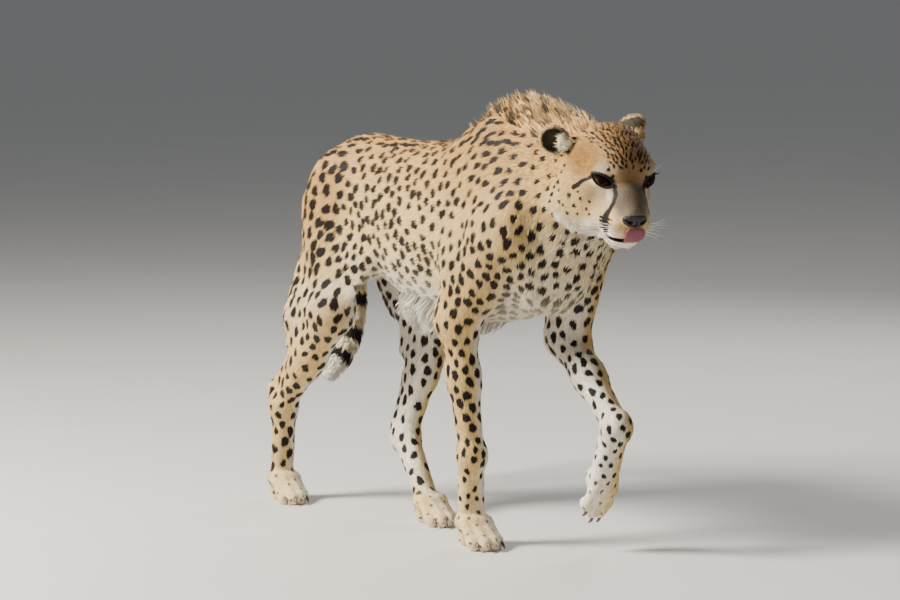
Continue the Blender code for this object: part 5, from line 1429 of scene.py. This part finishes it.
# hair out of the front rim of each ear, lying across the opening, and a fine fringe round the edge
for s, (base, a_, n_, w_) in EARS.items():
    d = hq - base
    up, fr, sd = d @ a_, d @ n_, d @ w_
    mid, rr = EAR_FORM[s][0], EAR_FORM[s][1]
    at_ear = (np.sign(hq[:, 0]) == s) & (sd > 1) & (sd < 18)
    we = at_ear * (up > -4) * (up < 10) * (fr > 1) * (fr < 15) * 1.
    axw, nw, ww = a_ @ HM, n_ @ HM, w_ @ HM
    def ear_hair(weight, n, D0, jitter, length, width, col, dark, nm):
        n = int(n * (1))
        if weight.sum() <= 0:
            return
        t, b, P, N, F, g = roots(weight[sT].mean(1), n)
        D = V(D0)[None] + rng.normal(0, jitter, (n, 3))
        D /= np.linalg.norm(D, axis=1)[:, None]
        dn = (D * N).sum(1)
        dn = np.maximum(dn, .10)
        Tt = D - N * (D * N).sum(1)[:, None]
        tl_ = np.linalg.norm(Tt, axis=1)
        ln = length * rng.uniform(.55, 1.1, n)
        c1 = V(col)[None] * rng.uniform(.82, 1.08, n)[:, None]
        add_tufts(P, N, Tt / (tl_[:, None] + 1e-9), ln * tl_, width * rng.uniform(.7, 1.3, n), ln * dn, c1 * dark, c1, np.zeros(n, int), 2)
        say(nm, n)
    ear_hair(we, 420, axw * .62 + nw * .34 - ww * .25, .18, .016, .0010, srgb(232, 222, 186), .75, 'ear hair')
    ri = np.sqrt((sd / rr[0]) ** 2 + ((up - mid) / rr[1]) ** 2)
    wr_ = (np.sign(hq[:, 0]) == s) * ramp(ri, .82, .95) * (np.sqrt((d * d).sum(1)) < 60) * (up > 2) * np.clip(w_of('ear') * 2, 0, 1) * (fr > -2)
    ear_hair(wr_, 900, axw * .55 + nw * .10, .28, .0050, .0008, srgb(206, 176, 130), .7, 'ear rim')

for k, parts in sorted(BUCKET.items()):
    off = 0
    vs, fs, cs, ns, us = [], [], [], [], []
    for v, Fc, c, nn, u in parts:
        vs.append(v); fs.append(Fc + off); cs.append(c); ns.append(nn); us.append(u)
        off += len(v)
    v, Fc, c, nn, u = (np.concatenate(x) for x in (vs, fs, cs, ns, us))
    v[:, 2] = np.maximum(v[:, 2], .0002)
    o = fast_mesh('coat_' + k, v + SHIFT, Fc)
    put_attr(o, 'tint', np.clip(c, 0, 1))
    put_attr(o, 'custom_normal', nn)
    uv = o.data.uv_layers.new(name='OFBake')
    uv.data.foreach_set('uv', np.clip(u[Fc.ravel()], 0, 1).astype(np.float32).ravel())
    o.data.materials.append(FUR_M)
    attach(o, 'root')
    COATS.append((k, len(Fc)))
say('coat', COATS, sum(x for _, x in COATS))


# =====================================================================
#  Eyes, nose leather, tongue, claws, whiskers, lashes
# =====================================================================
def own(obj, nodes, mat):
    obj.data.materials.append(mat)
    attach(obj, 'root')
    if nodes:
        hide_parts(*nodes)
    return obj


def eye_material():
    m, nt, N, L, B = nodes_of('eye')
    th = attr(nt, 'theta', 'Fac')
    rad = attr(nt, 'ray', 'Vector')
    fib = noise(nt, 5.5, 4, .7, vec=rad)
    fib2 = noise(nt, 16, 3, .7, vec=rad)
    # amber iris with darker fibres, a lighter ring round the pupil and a dark limbus
    iris = mix_col(nt, fib, srgb(44, 26, 15), srgb(90, 54, 26))
    iris = mix_col(nt, math_(nt, 'MULTIPLY', fib2, .5), iris, srgb(46, 26, 14))
    inner = math_(nt, 'SUBTRACT', 1.0, math_(nt, 'MULTIPLY', math_(nt, 'SUBTRACT', th, 19.0), .11), True)
    iris = mix_col(nt, math_(nt, 'MULTIPLY', inner, .35), iris, srgb(98, 62, 32))
    limb_ = math_(nt, 'MULTIPLY', math_(nt, 'SUBTRACT', th, 36.0), .085, True)
    iris = mix_col(nt, limb_, iris, srgb(22, 13, 8))
    wob = math_(nt, 'MULTIPLY', math_(nt, 'SUBTRACT', fib, .5), 2.0)
    pup = math_(nt, 'MULTIPLY', math_(nt, 'SUBTRACT', 20.0, math_(nt, 'ADD', th, wob)), .9, True)
    col = mix_col(nt, pup, iris, (.003, .003, .003))
    scl = math_(nt, 'MULTIPLY', math_(nt, 'SUBTRACT', th, 49.0), .35, True)
    white = mix_col(nt, noise(nt, 300, 3, .6), srgb(92, 66, 48), srgb(128, 98, 76))
    col = mix_col(nt, scl, col, white)
    # painted shadow of the upper lid: the top of the eyeball turns near black
    col = mix_col(nt, math_(nt, 'MULTIPLY', attr(nt, 'lidshade', 'Fac'), .96), col, srgb(14, 9, 7))
    out = math_(nt, 'MULTIPLY', math_(nt, 'SUBTRACT', th, 58.0), .1, True)
    col = mix_col(nt, out, col, srgb(34, 24, 20))
    L.new(col, B.inputs['Base Color'])
    B.inputs['Roughness'].default_value = .6
    B.inputs['Specular IOR Level'].default_value = 0.0
    B.inputs['Coat Weight'].default_value = .13
    B.inputs['Coat Roughness'].default_value = .025
    B.inputs['Coat IOR'].default_value = 1.34
    return m


EYE_M = eye_material()
for s, nm in ((-1, 'R'), (1, 'L')):
    c, g, a, u = eye_frame(s)
    M = np.stack([a, u, g]) @ HM
    nu, nv = 72, 44
    th = np.pi * (np.linspace(0, 1, nv + 1) ** 1.25)[1:-1]
    ph_ = np.linspace(0, 2 * np.pi, nu, endpoint=False)
    TH, PH = np.meshgrid(th, ph_, indexing='ij')
    dome = 1 + .035 * np.clip(1 - (TH / .85) ** 2, 0, 1)          # the cornea stands a little proud
    X = np.stack([np.sin(TH) * np.cos(PH), np.sin(TH) * np.sin(PH), np.cos(TH)], -1) * dome[..., None]
    loc_v = np.concatenate([[[0, 0, 1.035]], X.reshape(-1, 3), [[0, 0, -1.]]])
    v = H(*c) + (loc_v * GLOBE * SC) @ M
    n1 = nv - 1
    tri = []
    for j in range(nu):
        k = (j + 1) % nu
        tri.append((0, 1 + j, 1 + k))
        for i in range(n1 - 1):
            p, q, r, t_ = 1 + i * nu + j, 1 + i * nu + k, 1 + (i + 1) * nu + k, 1 + (i + 1) * nu + j
            tri += [(p, t_, r), (p, r, q)]
        tri.append((1 + (n1 - 1) * nu + j, 1 + n1 * nu, 1 + (n1 - 1) * nu + k))
    tri = V(tri)
    cen = v[tri].mean(1) - H(*c)
    fn = np.cross(v[tri[:, 1]] - v[tri[:, 0]], v[tri[:, 2]] - v[tri[:, 0]])
    if ((fn * cen).sum(1) < 0).mean() > .5:
        tri = tri[:, ::-1]
    o = fast_mesh('eyeball_' + nm, v + SHIFT, tri)
    tha = np.concatenate([[0], TH.ravel(), [np.pi]])
    pha = np.concatenate([[0], PH.ravel(), [0]])
    put_attr(o, 'theta', np.degrees(tha))
    ly = np.concatenate([[0], (np.sin(TH) * np.sin(PH)).ravel(), [0]]) * GLOBE
    # lidshade: painted shadow of the upper lid, dark over the top of the globe
    put_attr(o, 'lidshade', ramp(ly, -3.2, 2.2))
    a_ = o.data.attributes.new('ray', 'FLOAT_VECTOR', 'POINT')
    a_.data.foreach_set('vector', np.stack([np.cos(pha) * 3, np.sin(pha) * 3, tha * .9], 1).astype(np.float32).ravel())
    own(o, ['eye_' + nm], EYE_M)


def sub_shape(f, lo, hi, h, name):
    v, F, _ = mesh(f, lo, hi, h)
    v = project(f, v, 2, h=2e-4)
    return v, triangles(v, F)


def local_prims(build):
    """primitives made by build(), kept out of the body's list"""
    n = len(PR)
    build()
    out = PR[n:]
    del PR[n:]
    return out


# ---- nose leather ----
def nose_cuts():
    for s in (-1, 1):
        hell((s * 9.3, 54.6, -37.6), (3.7, 5.0, 3.0), .8, op='-')
        hlimb((s * 11.0, 54.2, -37.2), (s * 16.6, 51.0, -34.6), (0, 1, 0), (3.4, 1.5), (2.8, .9), .8, op='-')
    hlimb((0, 56.2, -36.5), (0, 52.0, -46.5), (0, 1, 0), (1.3, .6), (1.3, .7), 1.2, op='-')


NC = local_prims(nose_cuts)
NOSE_C, NOSE_R = H(0, 52.5, -35.5), V((19.5, 13.5, 9.5)) * SC


def nose_f(p):
    q = (p - NOSE_C) @ HM.T / NOSE_R
    k0 = np.sqrt((q * q).sum(1))
    k1 = np.sqrt(((q / NOSE_R) ** 2).sum(1))
    e = k0 * (k0 - 1) / np.maximum(k1, 1e-6)
    d = smax(FL(p) - .0007, e, .0016)
    for c in NC:
        d = smax(d, -c['f'](p), c['k'])
    return d


v, t = sub_shape(nose_f, NOSE_C - .024, NOSE_C + .024, .0007, 'nose')
m, nt, N, L, B = nodes_of('nose_leather')
peb = nt.nodes.new('ShaderNodeTexVoronoi')
tc = nt.nodes.new('ShaderNodeTexCoord')
nt.links.new(tc.outputs['Object'], peb.inputs['Vector'])
peb.inputs['Scale'].default_value = 900
L.new(mix_col(nt, noise(nt, 160, 4, .6), srgb(15, 12, 13), srgb(34, 28, 29)), B.inputs['Base Color'])
L.new(math_(nt, 'ADD', math_(nt, 'MULTIPLY', noise(nt, 220, 3, .6), .25), .28), B.inputs['Roughness'])
L.new(bump(nt, peb.outputs['Distance'], .0006, .55), B.inputs['Normal'])
own(fast_mesh('nose_leather', v + SHIFT, t), ['nose'], m)
say('nose', len(t))

# ---- tongue over the upper lip ----
TP_ = [(0, 18, -75.2), (0, 34, -73.0), (.3, 46, -71.4), (.7, 52.0, -68.6), (1.0, 55.0, -63.5), (1.2, 56.2, -57), (1.3, 56.4, -51), (1.4, 56.2, -46.8)]
TW_ = [(8, 1.2), (9, 1.4), (10, 1.9), (12.2, 2.4), (14.6, 2.6), (15.4, 2.5), (14.8, 2.1), (11.5, 1.3)]


def tongue_build():
    t0, t1 = np.arange(len(TP_)), np.linspace(0, len(TP_) - 1, 22)
    P_ = V([np.interp(t1, t0, V(TP_, float)[:, j]) for j in range(3)]).T
    R_ = V([np.interp(t1, t0, V(TW_, float)[:, j]) for j in range(2)]).T
    for _ in range(2):
        P_[1:-1] = (P_[:-2] + 2 * P_[1:-1] + P_[2:]) / 4
        R_[1:-1] = (R_[:-2] + 2 * R_[1:-1] + R_[2:]) / 4
    for i in range(len(P_) - 1):
        hlimb(P_[i], P_[i + 1], (1, 0, 0), R_[i], R_[i + 1], 1.2)
    hlimb((.9, 58.6, -66.5), (1.2, 60.0, -55.0), (1, 0, 0), (.8, 1.0), (.7, 1.0), 1.6, op='-')


TQ = local_prims(tongue_build)
tf = lambda p: body_sdf(p, prims=TQ)
tlo = np.min([H(x + sx, y + sy, z + sz) for x, y, z in TP_ for sx in (-18, 18) for sy in (-6, 6) for sz in (-6, 6)], 0)
thi = np.max([H(x + sx, y + sy, z + sz) for x, y, z in TP_ for sx in (-18, 18) for sy in (-6, 6) for sz in (-6, 6)], 0)
v, t = sub_shape(tf, tlo, thi, .0008, 'tongue')
m, nt, N, L, B = nodes_of('tongue')
pap = nt.nodes.new('ShaderNodeTexVoronoi')
tc = nt.nodes.new('ShaderNodeTexCoord')
nt.links.new(tc.outputs['Object'], pap.inputs['Vector'])
pap.inputs['Scale'].default_value = 700
c_ = mix_col(nt, noise(nt, 90, 4, .6), srgb(122, 50, 68), srgb(154, 72, 88))
c_ = mix_col(nt, math_(nt, 'MULTIPLY', pap.outputs['Distance'], .6), c_, srgb(102, 40, 56))
L.new(c_, B.inputs['Base Color'])
B.inputs['Roughness'].default_value = .36
B.inputs['Subsurface Weight'].default_value = .12
B.inputs['Subsurface Radius'].default_value = (.006, .002, .0015)
L.new(bump(nt, pap.outputs['Distance'], .0008, .5), B.inputs['Normal'])
own(fast_mesh('tongue_surface', v + SHIFT, t), ['tongue'], m)
say('tongue', len(t))


def tube(P, R, w, n=8, flat=1.0):
    """closed tube through points, radii R, w = a sideways direction"""
    P = V(P, float)
    k = len(P)
    tg = np.gradient(P, axis=0)
    tg /= np.linalg.norm(tg, axis=1)[:, None] + 1e-12
    w = V(w, float)
    W_ = w - tg * (tg @ w)[:, None]
    W_ /= np.linalg.norm(W_, axis=1)[:, None]
    U_ = np.cross(tg, W_)
    an = np.linspace(0, 2 * np.pi, n, endpoint=False)
    ring = (np.cos(an)[None, :, None] * W_[:, None] * flat + np.sin(an)[None, :, None] * U_[:, None]) * V(R, float)[:, None, None]
    v = (P[:, None] + ring).reshape(-1, 3)
    v = np.concatenate([v, P[:1], P[-1:] + tg[-1:] * R[-1] * .5])
    F = []
    for i in range(k - 1):
        for j in range(n):
            j2 = (j + 1) % n
            a, b, c, d = i * n + j, i * n + j2, (i + 1) * n + j2, (i + 1) * n + j
            F += [(a, b, c), (a, c, d)]
    for j in range(n):
        j2 = (j + 1) % n
        F += [(k * n, j2, j), (k * n + 1, (k - 1) * n + j, (k - 1) * n + j2)]
    return v, V(F)


# ---- claws ----
m, nt, N, L, B = nodes_of('claw')
c_ = mix_col(nt, noise(nt, 700, 4, .6, stretch=(1, 1, .25)), srgb(48, 40, 36), srgb(104, 90, 78))
L.new(c_, B.inputs['Base Color'])
L.new(math_(nt, 'ADD', math_(nt, 'MULTIPLY', noise(nt, 500, 2, .5), .2), .26), B.inputs['Roughness'])
CLAW_M = m
for key, cl in CLAWS:
    end = {'f': 'fore', 'h': 'hind'}[key[0]]
    for i, (p0, p1, p2) in enumerate(cl):
        tt = np.linspace(-.35, 1, 12)[:, None]
        q0, q1, q2 = V(p0), p0 * .45 + p1 * .55, V(p2)
        ctrl = 2 * p1 - .5 * (V(p0) + V(p2))
        P = (1 - tt) ** 2 * V(p0) + 2 * tt * (1 - tt) * ctrl + tt ** 2 * V(p2)
        R = np.interp(tt[:, 0], [-.35, 0, .35, .7, .93, 1], [.0026, .0036, .0031, .0021, .0010, .0005])
        v, t = tube(P, R, np.cross(V(p1) - V(p0), (0, 0, 1)) + 1e-6, 10, .82)
        v[:, 2] = np.maximum(v[:, 2], .0001) if key != 'fL' else v[:, 2]
        own(fast_mesh('claw_%s_%s_%d_horn' % (end, key[1], i + 1), v + SHIFT, t), ['claw_%s_%s_%d' % (end, key[1], i + 1)], CLAW_M)

# ---- whiskers and lashes ----
m, nt, N, L, B = nodes_of('whisker')
L.new(mix_col(nt, noise(nt, 60, 2, .5), srgb(232, 226, 214), srgb(246, 243, 236)), B.inputs['Base Color'])
B.inputs['Roughness'].default_value = .38
vs, fs, off = [], [], 0
wr = np.random.default_rng(21)


def front_of(x, z, s):
    """place on the skin seen from straight ahead of the head, local mm"""
    p = H(s * x, 80, z)
    d = Hd(0, -1, 0)
    for _ in range(60):
        k = FL(p[None])[0]
        if abs(k) < 2e-4:
            break
        p = p + d * k * .8
    return p


for s in (-1, 1):
    for r_, (z0, xs) in enumerate(((-46, (24, 28)), (-51.5, (22.5, 27, 30)), (-57, (23, 27.5)), (-63, (24, 28)))):
        for j, x0 in enumerate(xs):
            p = front_of(x0, z0 + wr.uniform(-1, 1), s)
            ln = wr.uniform(.044, .064) * (1 - .08 * r_)
            d0 = unit(Hd(s * .95, -.28 - .16 * j + wr.uniform(-.08, .08), .10 - .10 * r_ + wr.uniform(-.05, .05)))
            sag = Hd(s * .02, -.35, -.42 - .06 * r_) + wr.normal(0, .04, 3)
            tt = np.linspace(0, 1, 10)[:, None]
            P = p - d0 * .002 + d0 * ln * tt + sag * ln * .45 * tt ** 2
            v, t = tube(P, np.linspace(.00036, .00008, 10), (0, .2, 1), 5)
            vs.append(v); fs.append(t + off); off += len(v)
    for j in range(2):                                    # over the brow
        c, g, a, u = eye_frame(s)
        p = H(*(c + g * 17 + u * (15 + j) + a * (j - 1) * 3 * s))
        d0 = unit(Hd(s * .5, .15 * j, .8))
        tt = np.linspace(0, 1, 8)[:, None]
        P = p - d0 * .004 + d0 * .024 * tt + Hd(s * .2, -.3, -.3) * .012 * tt ** 2
        v, t = tube(P, np.linspace(.00020, .00006, 8), (0, .2, 1), 5)
        vs.append(v); fs.append(t + off); off += len(v)
own(fast_mesh('whiskers', np.concatenate(vs) + SHIFT, np.concatenate(fs)), [], m)
m, nt, N, L, B = nodes_of('lash')
L.new(mix_col(nt, noise(nt, 200, 2, .5), srgb(24, 18, 15), srgb(48, 36, 30)), B.inputs['Base Color'])
B.inputs['Roughness'].default_value = .5
vs, fs, off = [], [], 0
for s in (-1, 1):
    c, g, a, u = eye_frame(s)
    A = LID_OPENING
    for j, x in enumerate(np.linspace(-13.5, 14.5, 20)):
        b_ = 7.6
        R_ = (A * A + b_ * b_) / (2 * b_)
        y = np.sqrt(max(R_ * R_ - x * x, 0)) - (R_ - b_) + .8
        z = np.sqrt(max((GLOBE + LID) ** 2 - x * x - y * y, 1.)) - .5
        p = H(*(c + a * x + u * y + g * z))
        out_ = abs(x) / 14.
        # lashes are longest at the outer corner
        o_sgn = 1 if np.dot(a, V((s, 0, 0))) > 0 else -1
        side_ = (x * o_sgn) / 14.
        ln = (.0045 + .004 * max(side_, 0)) * wr.uniform(.8, 1.1)
        d0 = unit((g * .75 + u * .45 + a * .5 * x / 14.) @ HM)
        tt = np.linspace(0, 1, 5)[:, None]
        P = p - d0 * .001 + d0 * ln * tt + (a * o_sgn * .5 - u * .2) @ HM * ln * .4 * tt ** 2
        v, t = tube(P, np.linspace(.00032, .00008, 5), (0, .2, 1), 4)
        vs.append(v); fs.append(t + off); off += len(v)
own(fast_mesh('lashes', np.concatenate(vs) + SHIFT, np.concatenate(fs)), [], m)
say('details')


# =====================================================================
#  Camera, light, floor
# =====================================================================
sc = bpy.context.scene
cam_d = bpy.data.cameras.new('photo_camera')
cam_d.sensor_width = 36
cam_d.lens = 123.41
cam_d.clip_start, cam_d.clip_end = .1, 1500
cam = bpy.data.objects.new('photo_camera', cam_d)
sc.collection.objects.link(cam)
pos = Vector((-2.9757, -3.9815, .9394)) + Vector(SHIFT)
aim = Vector((.0073, -.0085, .376)) + Vector(SHIFT)
cam.location = pos
cam.rotation_euler = (aim - pos).to_track_quat('-Z', 'Y').to_euler()
sc.camera = cam

right = Vector((.7996, -.6005, 0))       # image right, along the floor
back_ = Vector((.6005, .7996, 0))        # away from the camera


def lamp(name, at_, size, watts, colour, aim_=Vector((0, -.05, .40))):
    d = bpy.data.lights.new(name, 'AREA')
    d.shape = 'DISK'
    d.size = size
    d.energy = watts
    d.color = colour
    o = bpy.data.objects.new(name, d)
    o.location = at_
    o.rotation_euler = (aim_ - at_).to_track_quat('-Z', 'Y').to_euler()
    sc.collection.objects.link(o)
    return o


lamp('key', Vector((-2.5, .95, 2.25)), 1.1, 370, (1, .96, .885))
lamp('fill', Vector((0, 0, .4)) + right * 1.6 - back_ * 2.6 + Vector((0, 0, 1.3)), 1.4, 6, (.95, .97, 1))
lamp('rim', Vector((0, 0, .4)) + right * 1.2 + back_ * 2.2 + Vector((0, 0, 1.6)), 1.6, 40, (1, .98, .95))
w = bpy.data.worlds.new('studio')
sc.world = w
w.use_nodes = True
w.node_tree.nodes['Background'].inputs['Color'].default_value = (.80, .84, .90, 1)
w.node_tree.nodes['Background'].inputs['Strength'].default_value = .25

me = bpy.data.meshes.new('floor')
me.from_pydata([(-400, -400, 0), (400, -400, 0), (400, 400, 0), (-400, 400, 0)], [], [(0, 1, 2, 3)])
fl = bpy.data.objects.new('floor', me)
sc.collection.objects.link(fl)
m, nt, N, L, B = nodes_of('floor')
L.new(mix_col(nt, noise(nt, 3, 4, .5), srgb(205, 202, 196), srgb(212, 209, 203)), B.inputs['Base Color'])
L.new(math_(nt, 'ADD', math_(nt, 'MULTIPLY', noise(nt, 8, 3, .5), .08), .58), B.inputs['Roughness'])
me.materials.append(m)
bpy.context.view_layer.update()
say('finish')
